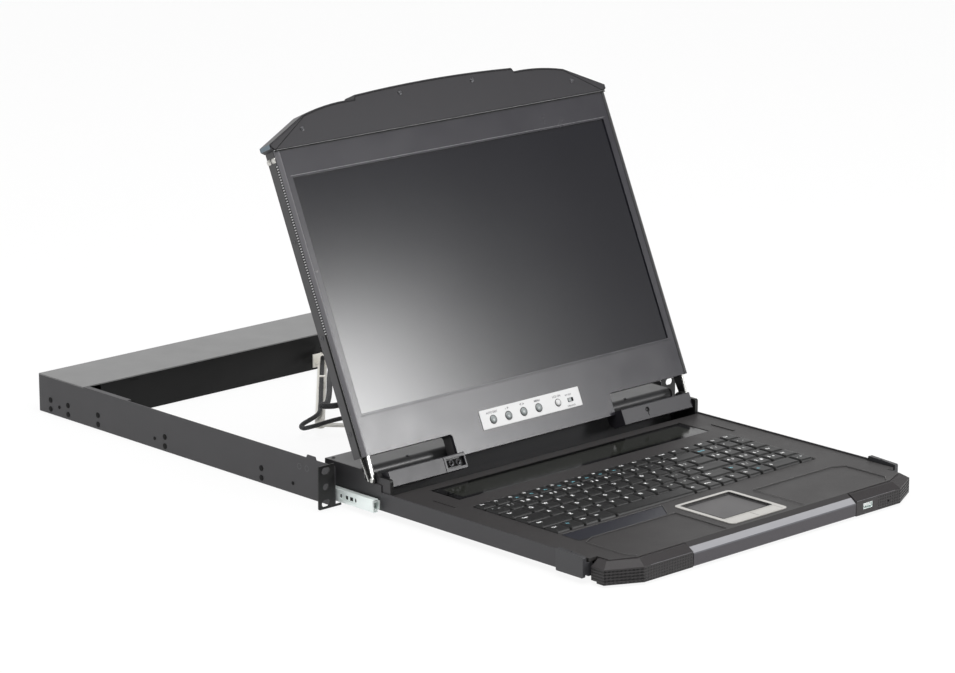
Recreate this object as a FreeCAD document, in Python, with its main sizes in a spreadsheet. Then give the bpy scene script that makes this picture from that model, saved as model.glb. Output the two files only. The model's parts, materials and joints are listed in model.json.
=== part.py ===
import FreeCAD, Part
import math
import os
import Sketcher
from FreeCAD import Rotation, Vector

# Rackmount LCD console drawer, one rack unit high, drawn out and with its display raised.
# X runs to the operator's right, Y into the rack, Z up. The origin is the centre of the four ear slots, on
# the front plane of the ears. Heights below are counted from the underside of the side rails, and every
# placement lowers its piece by slot_above_floor. The display's pieces are drawn flat, round the hinge axis,
# with Y up the screen and Z out of it, and are then raised.

os.makedirs("parts", exist_ok=True)
doc = FreeCAD.newDocument("console_drawer")

SIZES = (
    # rack interface
    ("slot_inset", 8.75, "middle of the ear slots from the outer edge of the ears"),
    ("slot_rise", 31.75, "between the lower and upper ear slots"),
    ("slot_long", 10.2, "ear slot, end to end"),
    ("slot_wide", 6.8, "ear slot and middle hole, across"),
    ("slot_above_floor", 21.8, "middle of the slots above the underside"),
    ("ear_reach", 241.3, "half the width over the ears"),
    ("ear_high", 42.6, "height of an ear"),
    ("ear_thick", 1.5, "thickness of an ear"),
    ("ear_corner", 1.5, "corner radius of an ear"),
    ("ear_foot", 8.2, "foot of the ear under the slide, reach inside the rail"),
    ("foot_high", 2.1, "height of that foot"),
    ("foot_thick", 1.2, "thickness of that foot"),
    # chassis
    ("ear_wide", 19.6, "ear outside the side rail"),
    ("rail_thick", 1.2, "sheet thickness of a side rail"),
    ("rail_high", 39.8, "height of the side rails and the rear housing"),
    ("chassis_deep", 462.7, "ears' front plane to the rear panel"),
    ("cover_long", 75.0, "depth of the rear top cover"),
    ("wall_setback", 3.3, "housing wall behind the cover's front edge"),
    ("wall_inset", 24.7, "ends of the housing's front wall from the rails' outer faces"),
    ("sheet", 1.2, "sheet thickness of housing, pan and covers"),
    ("flange_wide", 5.0, "inward top flange of a side rail"),
    ("flange_long", 70.7, "length of that flange"),
    ("tab_start", 27.0, "front of the tab on top of a rail"),
    ("tab_long", 14.0, "length of that tab"),
    ("tab_rise", 3.2, "height of that tab above the rail"),
    ("rivet_radius", 2.0, "rivet heads on the rails"),
    ("rivet_head", 0.8, "height of a rivet head"),
    ("rivet_low", 5.2, "lower rivet of a pair"),
    ("rivet_pitch", 9.6, "between the two rivets of a pair"),
    ("rivet_front", 14.3, "single rivet before the outer slide member"),
    ("rivet_first", 32.5, "first pair behind the front end of that member"),
    ("rivet_middle", 129.7, "second pair before its rear end"),
    ("rivet_single", 113.6, "single rivet before its rear end"),
    ("rivet_last", 21.5, "third pair before its rear end"),
    ("rivet_housing", 48.3, "pair on the housing before the rear panel"),
    ("rivet_rear", 18.9, "last pair before the rear panel"),
    # power inlet and ports in the rear panel
    ("inlet_set", 71.7, "middle of the power inlet module from the outer face of the rail"),
    ("port_height", 20.0, "middle of all rear connectors"),
    ("inlet_wide", 50.0, "flange of the inlet module, across"),
    ("inlet_high", 25.0, "flange of the inlet module, height"),
    ("inlet_flange", 2.0, "thickness of that flange"),
    ("inlet_deep", 20.0, "body of the inlet module behind the flange"),
    ("plug_wide", 24.0, "plug cavity, across"),
    ("plug_high", 16.4, "plug cavity, height"),
    ("plug_deep", 16.0, "plug cavity, depth"),
    ("plug_shift", 7.0, "middle of the plug cavity from the middle of the inlet module"),
    ("plug_corner", 4.0, "cut corners of the plug cavity"),
    ("prong_pitch", 7.0, "middles of the three prongs in the plug cavity"),
    ("prong_half", 1.0, "prong, half its thickness"),
    ("prong_foot", 6.0, "lower end of a prong under the middle of the inlet"),
    ("prong_head", 2.0, "upper end of a prong under the middle of the inlet"),
    ("prong_set", 4.0, "tip of a prong inside the mouth of the cavity"),
    ("inlet_corner", 2.0, "rounded corners of the inlet flange"),
    ("inlet_rim", 4.0, "flange past the body of the inlet, at each end"),
    ("inlet_brim", 2.0, "flange past the body of the inlet, above and below"),
    ("rocker_edge", 2.0, "window of the rocker from the end of the inlet body"),
    ("rocker_well", 16.0, "depth of the window of the rocker"),
    ("video_half", 9.0, "opening for the video port, half its width"),
    ("video_tall", 4.8, "opening for the video port, half its height"),
    ("video_flange_half", 15.4, "flange of the video port, half its width"),
    ("video_flange_tall", 6.2, "flange of the video port, half its height"),
    ("video_flange_thick", 1.0, "flange of the video port, thickness and corners"),
    ("video_foot_half", 7.2, "lower edge of the video shell, half its width"),
    ("video_head_half", 8.4, "upper edge of the video shell, half its width"),
    ("video_shell_tall", 4.0, "video shell, half its height"),
    ("video_shell_round", 1.5, "corners of the video shell"),
    ("video_shell_out", 6.5, "front of the video shell behind the rear panel"),
    ("video_body_half", 8.6, "body of the video port inside, half its width"),
    ("video_body_tall", 4.4, "body of the video port inside, half its height"),
    ("video_body_deep", 10.0, "body of the video port inside, depth"),
    ("usb_b_half", 6.0, "square USB port, half its width"),
    ("usb_b_tall", 5.4, "square USB port, half its height"),
    ("usb_b_fit", 0.3, "rear panel's opening past the square USB port, at each side"),
    ("usb_b_clear", 0.4, "rear panel's opening past the square USB port, above and below"),
    ("usb_b_corner", 2.4, "cut upper corners of the square USB port"),
    ("usb_b_deep", 12.0, "square USB port, depth"),
    ("usb_b_out", 0.8, "square USB port past the rear panel"),
    ("usb_b_wall", 1.8, "wall of the square USB port, across"),
    ("usb_b_shell", 1.5, "wall of the square USB port, above and below"),
    ("usb_b_well", 8.0, "mouth of the square USB port, depth"),
    ("usb_b_tongue_half", 2.8, "tongue of the square USB port, half its width"),
    ("usb_b_tongue_tall", 1.6, "tongue of the square USB port, half its height"),
    ("usb_b_tongue_set", 0.5, "tongue behind the outer face of the rear panel"),
    ("arm_plate_half", 8.0, "plate of the arm's wall bracket, half its width"),
    ("arm_plate_low", 2.5, "lower edge of that plate"),
    ("arm_plate_top", 17.0, "upper edge of that plate"),
    ("arm_tongue_half", 6.0, "tongue of the arm's wall bracket, half its width"),
    ("arm_tongue_end", 4.0, "tongue past the arm's rear pin"),
    ("arm_pin_over", 0.6, "arm's rear pin over its link"),
    ("arm_boss", 4.0, "boss under the front pin of the cable arm, radius"),
    ("tab_slope", 1.5, "slope at each end of the rail's tab"),
    ("window_fit", 0.1, "gap round the status window and the touchpad's surface"),
    ("base_thick", 1.4, "floor of the keyboard's tray"),
    ("pad_thick", 0.6, "underside of the touchpad's surface under the deck"),
    ("pad_button_lift", 0.4, "gap under a pressed touchpad button"),
    ("pad_button_set", 0.1, "touchpad buttons under the top of their frame"),
    ("bezel_drop", 1.4, "bevel of the bezel's side edges, along their depth"),
    ("screen_fit", 0.2, "gap round the screen in its window"),
    ("menu_corner", 1.0, "corners of the button panel"),
    ("menu_foot", 2.0, "buttons behind the bezel's face"),
    ("switch_set", 0.5, "knob of the switch lower than the buttons"),
    ("cable_turn", 30.0, "where a cable leaves its link, from the elbow"),
    ("rocker_wide", 11.0, "rocker of the power switch, across"),
    ("rocker_radius", 8.2, "rocker, swing radius"),
    ("rocker_set", 6.0, "rocker's pivot behind the face of the inlet module"),
    ("rocker_pin", 1.2, "radius of the rocker's pivot pin"),
    ("window_gap", 0.5, "gap round the rocker, and round a body in the rear panel"),
    ("video_x", 40.0, "middle of the video port"),
    ("usb_b_x", 5.0, "middle of the square USB port"),
    ("board_wide", 210.0, "main board, across"),
    ("board_long", 50.0, "main board, depth"),
    ("board_thick", 1.6, "thickness of the circuit boards"),
    ("standoff", 5.0, "height of the board standoffs"),
    ("standoff_radius", 2.5, "radius of the board standoffs"),
    ("board_shift", 10.0, "main board left of the middle"),
    ("board_gap", 3.0, "main board behind the housing wall"),
    ("sink_wide", 30.0, "heat sink on the main board, square"),
    ("sink_high", 7.0, "height of the heat sink"),
    ("sink_place", 46.0, "middle of the heat sink from the board's left end"),
    ("chip_wide", 28.0, "largest chip on the main board, square"),
    ("chip_high", 3.0, "height of that chip"),
    ("chip_place", 114.0, "middle of that chip from the board's left end"),
    # slides
    ("stroke", 350.0, "travel of the drawer"),
    ("slide_low", 1.6, "lower edge of the outer slide member"),
    ("slide_high", 18.0, "height of the outer slide member"),
    ("outer_front", 75.0, "front end of the outer member"),
    ("outer_gap", 1.7, "rear end of the outer member in front of the cover"),
    ("outer_deep", 7.5, "outer member, inward depth"),
    ("slide_sheet", 1.0, "thickness of the slide members"),
    ("ball_gap", 1.6, "ball track between outer and middle member"),
    ("track_gap", 1.0, "ball track between middle and inner member"),
    ("middle_set", 2.1, "middle member's web inside the outer member's web"),
    ("middle_long", 255.0, "length of the middle member"),
    ("middle_edge", 2.3, "free edges of the middle member outside the drawer's sides"),
    ("slide_bend", 0.8, "outer bend radius of the middle member"),
    ("window_place", 36.0, "retainer window behind the front end of the middle member"),
    ("window_long", 24.0, "length of that window"),
    ("window_wide", 6.0, "width of that window"),
    ("lip_long", 4.0, "stop lip at the front end, length"),
    ("lip_edge", 0.5, "stop lip inside the edges of the member"),
    ("lip_proud", 0.8, "stop lip outside the member's web"),
    ("inner_deep", 6.3, "inner member, outward depth"),
    ("slide_front", -50.0, "front ends of the middle and inner members"),
    ("slide_rivet", 2.2, "radius of the rivets that hold the inner member"),
    ("slide_rivet_high", 0.8, "height of these rivets"),
    ("slide_rivet_first", 31.0, "first of these rivets behind the front end"),
    ("slide_rivet_pitch", 9.0, "between the two rivets"),
    # drawer
    ("slide_space", 12.4, "from the outer face of a rail to the side of the drawer"),
    ("drawer_back", 28.0, "rear edge of the drawer"),
    ("pan_low", 5.6, "underside of the drawer"),
    ("bracket_nose", 10.4, "front edge of the side brackets before the hinge axis"),
    ("bracket_step", 9.6, "step in the top of a side bracket"),
    ("bracket_cut", 3.0, "cut-off corner above that step"),
    ("bracket_lean", 1.5, "lean of the step's riser"),
    ("bracket_hollow", 4.5, "rounded inner corner of the step"),
    ("step_set", 2.4, "step of a side bracket behind the edge of the rear cover"),
    ("cover_edge", -26.4, "front edge of the drawer's rear cover"),
    ("small_board_wide", 120.0, "keyboard controller board, across"),
    ("small_board_gap", 7.0, "that board behind the wall and before the drawer's rear edge"),
    ("post_high", 3.4, "posts that hold that board"),
    ("post_radius", 2.0, "radius of these posts"),
    ("cover_bend", 7.0, "outer radius of the bend along that edge"),
    ("pan_set", 20.3, "front edge of the base pan behind the front bar's face"),
    ("deck_set", 22.4, "rear edge of the keyboard deck before the hinge axis"),
    ("deck_top", 22.0, "top of the keyboard deck"),
    ("deck_thick", 3.4, "thickness of the keyboard deck"),
    ("strip_deep", 11.3, "front edge of the deck behind the front face"),
    ("rim_rise", 1.2, "drawer's side walls above the deck"),
    ("latch_set", 71.3, "rear end of a release latch behind the front bar's face"),
    ("latch_long", 34.0, "length of a release latch"),
    ("latch_proud", 3.7, "outer face of a release latch outside the drawer's side"),
    ("latch_inset", 8.8, "inner face of a release latch's foot inside the drawer's side"),
    ("head_inset", 0.8, "inner face of a release latch's head inside the drawer's side"),
    ("latch_rise", 3.6, "top of a release latch above the deck"),
    ("latch_hook", 1.2, "bump on the head of a latch, and rounded corners of its grip"),
    ("latch_flat", 15.0, "level rear part of a latch's head"),
    ("latch_slope", 1.8, "front end of a latch below its rear end"),
    ("latch_low", 4.6, "underside of a latch's grip"),
    ("latch_travel", 2.6, "inward travel of a latch"),
    ("latch_gap", 0.5, "clearance round a latch"),
    # hinge
    ("hinge_y", -41.6, "hinge axis in front of the ears"),
    ("hinge_rise", 11.0, "hinge axis above the deck"),
    ("lid_angle", 114.2, "display opened from shut"),
    ("pin_radius", 3.0, "hinge pins"),
    ("pin_gap", 0.05, "running clearance round a pin"),
    ("knuckle_inset", 5.1, "inner face of the hinge knuckles inside the drawer's side"),
    ("knuckle_nose", 21.9, "front edge of the hinge knuckles before the axis"),
    ("knuckle_radius", 7.5, "round of a knuckle over its pin"),
    ("knuckle_top", 4.0, "level front of a knuckle above the axis"),
    ("knuckle_round", 2.2, "rounded front corner of a knuckle"),
    # keyboard, window and touchpad
    ("window_inset", 41.7, "ends of the status window inside the drawer's sides"),
    ("window_set", 11.9, "rear edge of the status window before the rear edge of the deck"),
    ("window_deep", 40.3, "depth of the status window"),
    ("window_sink", 1.0, "pocket of the status window"),
    ("window_groove", 1.6, "groove behind and beside the status window"),
    ("window_below", 0.2, "face of the status window below the deck"),
    ("keys_left", -175.2, "left edge of the keys"),
    ("key_pitch", 18.27, "from key to key"),
    ("key_units", 19.0, "keys in a row, in pitches"),
    ("keys_set", 25.1, "rear edge of the keys before the status window"),
    ("function_deep", 14.6, "pitch of the function row"),
    ("row_pitch", 19.4, "pitch of the other rows"),
    ("key_gap", 0.9, "gap between two keys at their foot"),
    ("key_taper", 2.1, "slope of a keycap's sides"),
    ("key_rise", 2.2, "top of the keycaps above the deck"),
    ("key_tall", 5.2, "height of a keycap"),
    ("key_travel", 2.0, "travel of a key"),
    ("key_frame_gap", 0.5, "gap between the keys and the deck"),
    ("key_room", 0.6, "pressed keys above the keyboard base"),
    ("base_rim", 5.0, "rim of the keyboard base round the keys"),
    ("pad_x", -2.6, "middle of the touchpad"),
    ("pad_half", 38.0, "half the width of the touchpad frame"),
    ("pad_set", 14.5, "rear edge of the touchpad frame before the keys"),
    ("pad_long", 75.4, "depth of the touchpad frame"),
    ("pad_corner", 5.0, "corner radius of the touchpad frame"),
    ("pad_side", 5.6, "side border of the touchpad frame"),
    ("pad_rear", 5.0, "rear border of the touchpad frame"),
    ("pad_button_deep", 12.0, "depth of a touchpad button"),
    ("pad_bar", 2.2, "bar of the frame behind and in front of the buttons"),
    ("pad_proud", 0.8, "touchpad frame above the deck"),
    ("pad_sink", 2.6, "pocket under the touchpad"),
    ("palm_inner", 52.5, "inner side of a palm recess from the middle"),
    ("palm_edge", 25.0, "palm recess inside the latches"),
    ("palm_drop", 15.0, "rear edge of a palm recess before the rear edge of the touchpad frame"),
    ("palm_corner", 14.0, "cut-off rear corner of a palm recess, width"),
    ("palm_nick", 7.0, "cut-off corners of a palm recess, depth"),
    ("palm_set", 3.0, "palm recess behind the deck's front edge"),
    ("palm_deep", 0.4, "depth of a palm recess"),
    ("trough_set", 5.6, "shallow trough before the keys"),
    ("trough_gap", 1.5, "ridge between that trough and the palm recess"),
    ("trough_end", 45.4, "inner end of the trough from the middle"),
    ("trough_lean", 16.0, "lean of its inner end"),
    ("trough_deep", 0.6, "depth of that trough"),
    ("rest_inset", 21.3, "middle of a rest pad inside the drawer's side"),
    ("rest_set", 38.0, "rear end of a rest pad before the rear edge of the deck"),
    ("rest_long", 30.0, "length of the rest pads that the display closes on"),
    ("rest_wide", 3.2, "width of a rest pad"),
    ("rest_rise", 0.8, "height of a rest pad"),
    ("button_gap", 0.3, "gap round a button"),
    ("press_travel", 0.6, "travel of the small buttons"),
    # front bar
    ("deck_lip", 6.2, "deck before the touchpad frame"),
    ("bar_low", 1.4, "underside of the front bar"),
    ("bar_inset", 2.8, "ends of the front bar inside the drawer's sides"),
    ("bar_deep", 33.3, "front bar's arms, depth"),
    ("chamfer_deep", 17.3, "corner chamfer, depth"),
    ("chamfer_wide", 33.5, "corner chamfer, width"),
    ("grip_long", 96.0, "length of the rubber grips"),
    ("grip_thick", 3.2, "thickness of the rubber grips"),
    ("rim_side", 11.0, "width of the grip's rim beside the deck"),
    ("rim_turn", 4.6, "grip's rim behind the corner chamfer"),
    ("rim_corner", 2.0, "grip's rim inside the corner chamfer"),
    ("grip_drop", 0.8, "top of the rubber grips below the deck"),
    ("grip_bevel", 8.4, "sloped top of the grips, width"),
    ("grip_seam", 0.8, "seam between a grip and the bar"),
    ("ridge_first", 3.0, "lowest groove round a grip's corner above the underside of the bar"),
    ("ridge_pitch", 2.9, "between these grooves"),
    ("ridge_wide", 1.1, "width of these grooves"),
    ("ridge_deep", 0.6, "depth of these grooves"),
    ("foot_start", 9.0, "rear end of a grip's lower edge behind its chamfer"),
    ("foot_step", 1.6, "grip's lower edge below the rest of its side"),
    ("strip_drop", 8.8, "top of the bar under the light bevel strip, below the deck"),
    ("strip_lip", 0.8, "front edge of the strip above the bar"),
    ("strip_shoulder", 5.0, "gentler slope between the deck and the strip"),
    ("strip_fall", 3.2, "drop of that slope"),
    ("grip_face_drop", 6.2, "front edge of the grips' slope below the deck"),
    ("strip_below", 0.2, "top of the strip below the deck"),
    ("bar_chamfer", 1.2, "chamfer along the lower edge of the bar"),
    ("socket_set", 16.4, "middle of the front USB socket from the inner end of the grip"),
    ("socket_height", 9.1, "middle of that socket above the underside"),
    ("socket_wide", 13.2, "shell of that socket, across"),
    ("socket_high", 5.8, "shell of that socket, height"),
    ("socket_deep", 14.0, "depth of that socket"),
    ("socket_sheet", 0.4, "thickness of its shell"),
    ("socket_fit", 0.1, "clearance round that shell"),
    ("socket_sink", 0.2, "mouth of that socket behind the front face"),
    ("socket_back", 2.0, "rear block of that socket"),
    ("tongue_side", 1.2, "tongue of that socket inside its shell, and behind the mouth"),
    ("tongue_low", 0.2, "underside of the tongue above the middle"),
    ("tongue_gap", 0.5, "tongue below the shell"),
    ("pinhole_set", 45.5, "small round hole from the inner end of the right grip"),
    ("pinhole_height", 7.4, "that hole above the underside"),
    ("pinhole_radius", 1.1, "radius of that hole"),
    # display, drawn flat round the hinge axis
    ("lcd_gap", 1.5, "display inside the side rails"),
    ("lcd_foot", 23.0, "lower edge of the display from the axis"),
    ("screen_top", 28.3, "border over the screen window, up to the cap"),
    ("lcd_face", 7.0, "bezel's face in front of the axis"),
    ("lcd_thick", 16.0, "thickness of the display"),
    ("bezel_thick", 3.5, "thickness of the bezel"),
    ("bezel_bevel", 4.0, "bevel along the bezel's side edges"),
    ("middle_half", 106.5, "half the width of the section between the hinges"),
    ("middle_foot", 1.0, "lower edge of that section from the axis"),
    ("notch_corner", 3.0, "rounded inner corners beside that section"),
    ("foot_corner", 1.5, "rounded lower corners of that section"),
    ("screen_side", 12.4, "border beside the screen window"),
    ("screen_low", 39.5, "screen window above the lower edge"),
    ("screen_high", 231.7, "height of the screen window"),
    ("screen_sink", 1.4, "screen behind the bezel's face"),
    ("panel_thick", 6.0, "thickness of the display panel"),
    ("panel_border", 1.9, "display panel round the screen window"),
    ("shell_thick", 1.6, "wall of the back shell"),
    ("shell_bevel", 1.2, "chamfer round the back of the display"),
    ("cap_over", 4.0, "cap's ends outside the display"),
    ("cap_foot", 2.5, "start of the cap's ends above its joint"),
    ("cap_side", 6.5, "height of the cap's ends"),
    ("cap_slope", 50.3, "width of the cap's slopes"),
    ("cap_shoulder", 29.5, "height of the cap there"),
    ("cap_rise", 36.6, "height of the cap's arc in the middle"),
    ("rise_half", 106.0, "half the width of the raised middle"),
    ("rise_high", 42.6, "height of the raised middle"),
    ("cap_edge", 0.8, "middle of the cap's slope below its rise"),
    ("cap_step", 2.0, "slope at each end of the raised middle"),
    ("cap_drop", 3.0, "ends of the raised middle below its top"),
    ("cap_bulge", 0.75, "rise of the cap's arc at its middle, as a share of the whole"),
    ("cap_rim", 1.1, "rim of the cap round its front plate"),
    ("cap_plate", 0.8, "thickness of that plate"),
    ("cap_screw_outer", 179.0, "outer screws of the cap from its middle"),
    ("cap_screw_inner", 48.0, "inner screws of the cap from its middle"),
    ("cap_screw_low", 16.0, "outer screws above the foot of the cap"),
    ("cap_screw_high", 34.0, "inner screws above the foot of the cap"),
    ("screw_radius", 1.9, "screw heads of the display"),
    ("screw_head", 0.5, "height of these heads"),
    ("shell_screw_first", 24.0, "lowest side screw above the display's lower edge"),
    ("shell_screw_pitch", 94.0, "between the side screws"),
    ("shell_screw_set", 6.5, "side screws behind the bezel"),
    ("cover_gap", 0.7, "hinge covers inside the knuckles"),
    ("cover_foot", 12.1, "hinge covers below the axis"),
    ("cover_head", 3.9, "hinge covers above the axis"),
    ("cover_face", 16.6, "face of the hinge covers in front of the axis"),
    ("cover_rear", 6.0, "hinge covers behind the axis"),
    ("lamp_wide", 23.0, "pocket of the keyboard lamp in the left hinge cover, across"),
    ("lamp_high", 9.2, "height of that pocket"),
    ("lamp_deep", 4.0, "depth of that pocket"),
    ("lamp_edge", 1.5, "that pocket from the inner end of the cover"),
    ("lamp_groove", 2.6, "groove beside that pocket, from its outer end"),
    ("groove_wide", 0.6, "width and depth of that groove"),
    ("cover_round", 0.8, "rounded front edges of the hinge covers"),
    ("cover_slope", 6.0, "slope behind the lower edge of the hinge covers"),
    ("lock_x", 141.3, "round recess in the right hinge cover"),
    ("lock_rise", -2.2, "that recess from the axis, up the screen"),
    ("lock_radius", 2.2, "radius of that recess"),
    ("lock_deep", 1.2, "depth of that recess"),
    ("arm_gap", 0.7, "hinge arms outside the drawer's sides"),
    ("arm_deep", 3.5, "depth of the channel of a hinge arm"),
    ("arm_wall", 1.2, "wall of the hinge arms"),
    ("arm_half", 5.6, "half the width of the hinge arms at the display"),
    ("arm_end", 3.7, "half the width of the hinge arms at their pins"),
    ("pin_head", 2.2, "radius of the head on a hinge pin"),
    ("pin_head_high", 1.0, "height of that head"),
    ("menu_half", 66.9, "half the width of the button panel"),
    ("menu_x", 0.3, "middle of the button panel"),
    ("menu_low", 18.7, "lower edge of the button panel from the axis"),
    ("menu_high", 19.0, "height of the button panel"),
    ("menu_thick", 0.6, "thickness of the button panel"),
    ("menu_row", 26.8, "menu buttons above the axis"),
    ("menu_first", -51.0, "first oval button"),
    ("menu_pitch", 20.3, "between the oval buttons"),
    ("menu_radius", 3.9, "oval buttons, half across"),
    ("menu_proud", 1.3, "buttons above the button panel"),
    ("power_x", 36.1, "round power button"),
    ("power_radius", 3.3, "radius of the power button"),
    ("switch_x", 53.3, "middle of the small slide switch"),
    ("switch_wide", 4.0, "knob of the slide switch, across"),
    ("switch_high", 3.2, "knob of the slide switch, height"),
    ("switch_travel", 3.0, "travel of the slide switch"),
    # cable arm
    ("arm_x", 96.0, "both outer pivots of the cable arm"),
    ("arm_pin_set", 3.7, "pivot on the housing before the rear top cover"),
    ("arm_front", 10.0, "pivot in the drawer"),
    ("link_long", 250.0, "pivot to pivot of a link"),
    ("link_half", 5.0, "half the width of a link"),
    ("link_thick", 1.6, "thickness of a link"),
    ("link_clear", 0.6, "rear link above the base pan"),
    ("link_step", 1.9, "front link above the rear link"),
    ("arm_pin", 2.0, "radius of the arm's pins"),
    ("cable_radius", 2.3, "radius of a sleeved cable"),
    ("cable_rise", 6.2, "middle of the lowest cable span above the underside of the rear link"),
    ("cable_step", 4.9, "front span above the rear span"),
    ("cable_lift", 11.4, "upper cable above the lower one"),
    ("pin_proud", 0.6, "pins of the arm above their link"),
    ("holder_first", 12.0, "cable holder next to the outer pivot"),
    ("holder_second", 106.0, "second cable holder on a link"),
    ("holder_long", 4.0, "cable holders, along the link"),
    ("holder_half", 3.0, "half the width of a holder's post"),
    ("holder_split", 0.4, "overlap of the post and its hook"),
    ("holder_wall", 1.2, "upright of a hook"),
    ("holder_shelf", 1.0, "thickness of a hook's shelf"),
    ("holder_shelf_half", 2.0, "reach of that shelf past the cable's middle"),
    ("loop_reach", 21.0, "cable loop beyond the elbow"),
)


class Size:
    """A number together with the sheet formula that gives it."""

    def __init__(self, value, formula):
        self.value = value
        self.formula = formula

    def __add__(self, other):
        other = as_size(other)
        return Size(self.value + other.value, f"({self.formula} + {other.formula})")

    __radd__ = __add__

    def __neg__(self):
        return Size(-self.value, f"(-1 * {self.formula})")

    def __sub__(self, other):
        return self + (-as_size(other))

    def __rsub__(self, other):
        return as_size(other) + (-self)

    def __mul__(self, other):
        other = as_size(other)
        return Size(self.value * other.value, f"({self.formula} * {other.formula})")

    __rmul__ = __mul__

    def __truediv__(self, other):
        other = as_size(other)
        return Size(self.value / other.value, f"({self.formula} / {other.formula})")


def as_size(number):
    if isinstance(number, Size):
        return number
    return Size(float(number), f"({float(number)!r})")


def length_of(run, rise):
    """Length of a slanted line from its run and rise."""
    value = math.hypot(run.value, rise.value)
    return Size(value, f"sqrt({run.formula}^2 + {rise.formula}^2)")


class Sheet:
    """The driving sizes, by their aliases."""

    def __init__(self, rows):
        cells = doc.addObject("Spreadsheet::Sheet", "sizes")
        for number, (alias, value, note) in enumerate(rows, start=1):
            cells.set(f"A{number}", note)
            cells.set(f"B{number}", str(value))
            cells.setAlias(f"B{number}", alias)
            setattr(self, alias, Size(float(value), f"sizes.{alias}"))


class Circle:
    """A round outline."""

    def __init__(self, x, y, radius):
        self.x = as_size(x)
        self.y = as_size(y)
        self.radius = as_size(radius)


class Through:
    """A point that a side of an outline bends through."""

    def __init__(self, x, y):
        self.x = as_size(x)
        self.y = as_size(y)


s = Sheet(SIZES)
nodes = {}


# ---------------------------------------------------------------- places that follow from the sizes

# half widths, from the ears inwards
s.slot_half = s.ear_reach - s.slot_inset
s.rail_reach = s.ear_reach - s.ear_wide
s.wall_half = s.rail_reach - s.wall_inset
s.drawer_reach = s.rail_reach - s.slide_space
s.middle_reach = s.drawer_reach + s.middle_edge
s.latch_reach = s.drawer_reach + s.latch_proud
s.latch_inner = s.drawer_reach - s.latch_inset
s.head_inner = s.drawer_reach - s.head_inset
s.knuckle_inner = s.drawer_reach - s.knuckle_inset
s.cover_outer = s.knuckle_inner - s.cover_gap
s.cover_inner = s.middle_half
s.arm_inner = s.drawer_reach + s.arm_gap
s.arm_outer = s.arm_inner + s.arm_deep
s.window_half = s.drawer_reach - s.window_inset
s.bar_reach = s.drawer_reach - s.bar_inset
s.chamfer_x = s.bar_reach - s.chamfer_wide
s.grip_inner = s.bar_reach - s.grip_long
s.bar_half = s.grip_inner - s.grip_seam
s.socket_x = s.grip_inner + s.socket_set
s.lcd_half = s.rail_reach - s.rail_thick - s.lcd_gap
s.screen_half = s.lcd_half - s.screen_side
s.inlet_x = s.rail_reach - s.inlet_set
s.cap_reach = s.lcd_half + s.cap_over
s.cap_shoulder_x = s.cap_reach - s.cap_slope

# depths, behind the ears
s.cover_front = s.chassis_deep - s.cover_long
s.flange_start = s.cover_front - s.flange_long
s.outer_back = s.cover_front - s.outer_gap
s.arm_back = s.cover_front - s.arm_pin_set

# depths, from the hinge axis to the front face
s.bracket_front = s.hinge_y - s.bracket_nose
s.knuckle_front = s.hinge_y - s.knuckle_nose
s.step_back = s.cover_edge + s.step_set
s.deck_back = s.hinge_y - s.deck_set
s.window_back = s.deck_back - s.window_set
s.keys_back = s.window_back - s.window_deep - s.keys_set
s.keys_front = s.keys_back - s.function_deep - 5 * s.row_pitch
s.keys_right = s.keys_left + s.key_pitch * s.key_units
s.pad_back = s.keys_front - s.pad_set
s.pad_front = s.pad_back - s.pad_long
s.deck_front = s.pad_front - s.deck_lip
s.palm_back = s.pad_back - s.palm_drop
s.palm_front = s.deck_front + s.palm_set
s.front_y = s.deck_front - s.strip_deep
s.pan_front = s.front_y + s.pan_set
s.chamfer_y = s.front_y + s.chamfer_deep
s.bar_back = s.front_y + s.bar_deep
s.latch_back = s.front_y + s.latch_set
s.latch_front = s.latch_back - s.latch_long

# up the display
s.lcd_long = s.screen_low + s.screen_high + s.screen_top
s.cap_base = s.lcd_foot + s.lcd_long

# heights
s.ear_low = s.slot_above_floor - s.ear_high / 2
s.foot_top = s.ear_low + s.foot_high
s.bracket_low_top = s.rail_high - s.bracket_step
s.pan_top = s.pan_low + s.sheet
s.rim_top = s.deck_top + s.rim_rise
s.latch_top = s.deck_top + s.latch_rise
s.key_top = s.deck_top + s.key_rise
s.base_floor = s.key_top - s.key_tall - s.key_travel - s.key_room
s.hinge_height = s.deck_top + s.hinge_rise
s.grip_top = s.deck_top - s.grip_drop
s.strip_low = s.deck_top - s.strip_drop
s.grip_edge = s.deck_top - s.grip_face_drop
s.link_low = s.pan_top + s.link_clear
s.cable_low = s.link_low + s.cable_rise


# the front bar's outer face: how far each end of its chamfer moves along when the face moves in by one
s.chamfer_long = length_of(s.chamfer_wide, s.chamfer_deep)
s.side_turn = (s.chamfer_long - s.chamfer_deep) / s.chamfer_wide
s.front_turn = (s.chamfer_long - s.chamfer_wide) / s.chamfer_deep


# ---------------------------------------------------------------- sketches and features

def point(sketch, geometry, position, x, y):
    """Hold one point of the sketch at x, y."""
    for kind, place in (("DistanceX", as_size(x)), ("DistanceY", as_size(y))):
        index = sketch.addConstraint(Sketcher.Constraint(kind, -1, 1, geometry, position, place.value))
        sketch.setExpression(f"Constraints[{index}]", place.formula)


def held_radius(sketch, geometry, radius):
    index = sketch.addConstraint(Sketcher.Constraint("Radius", geometry, radius.value))
    sketch.setExpression(f"Constraints[{index}]", radius.formula)


def vector(x, y):
    return Vector(as_size(x).value, as_size(y).value, 0)


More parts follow.
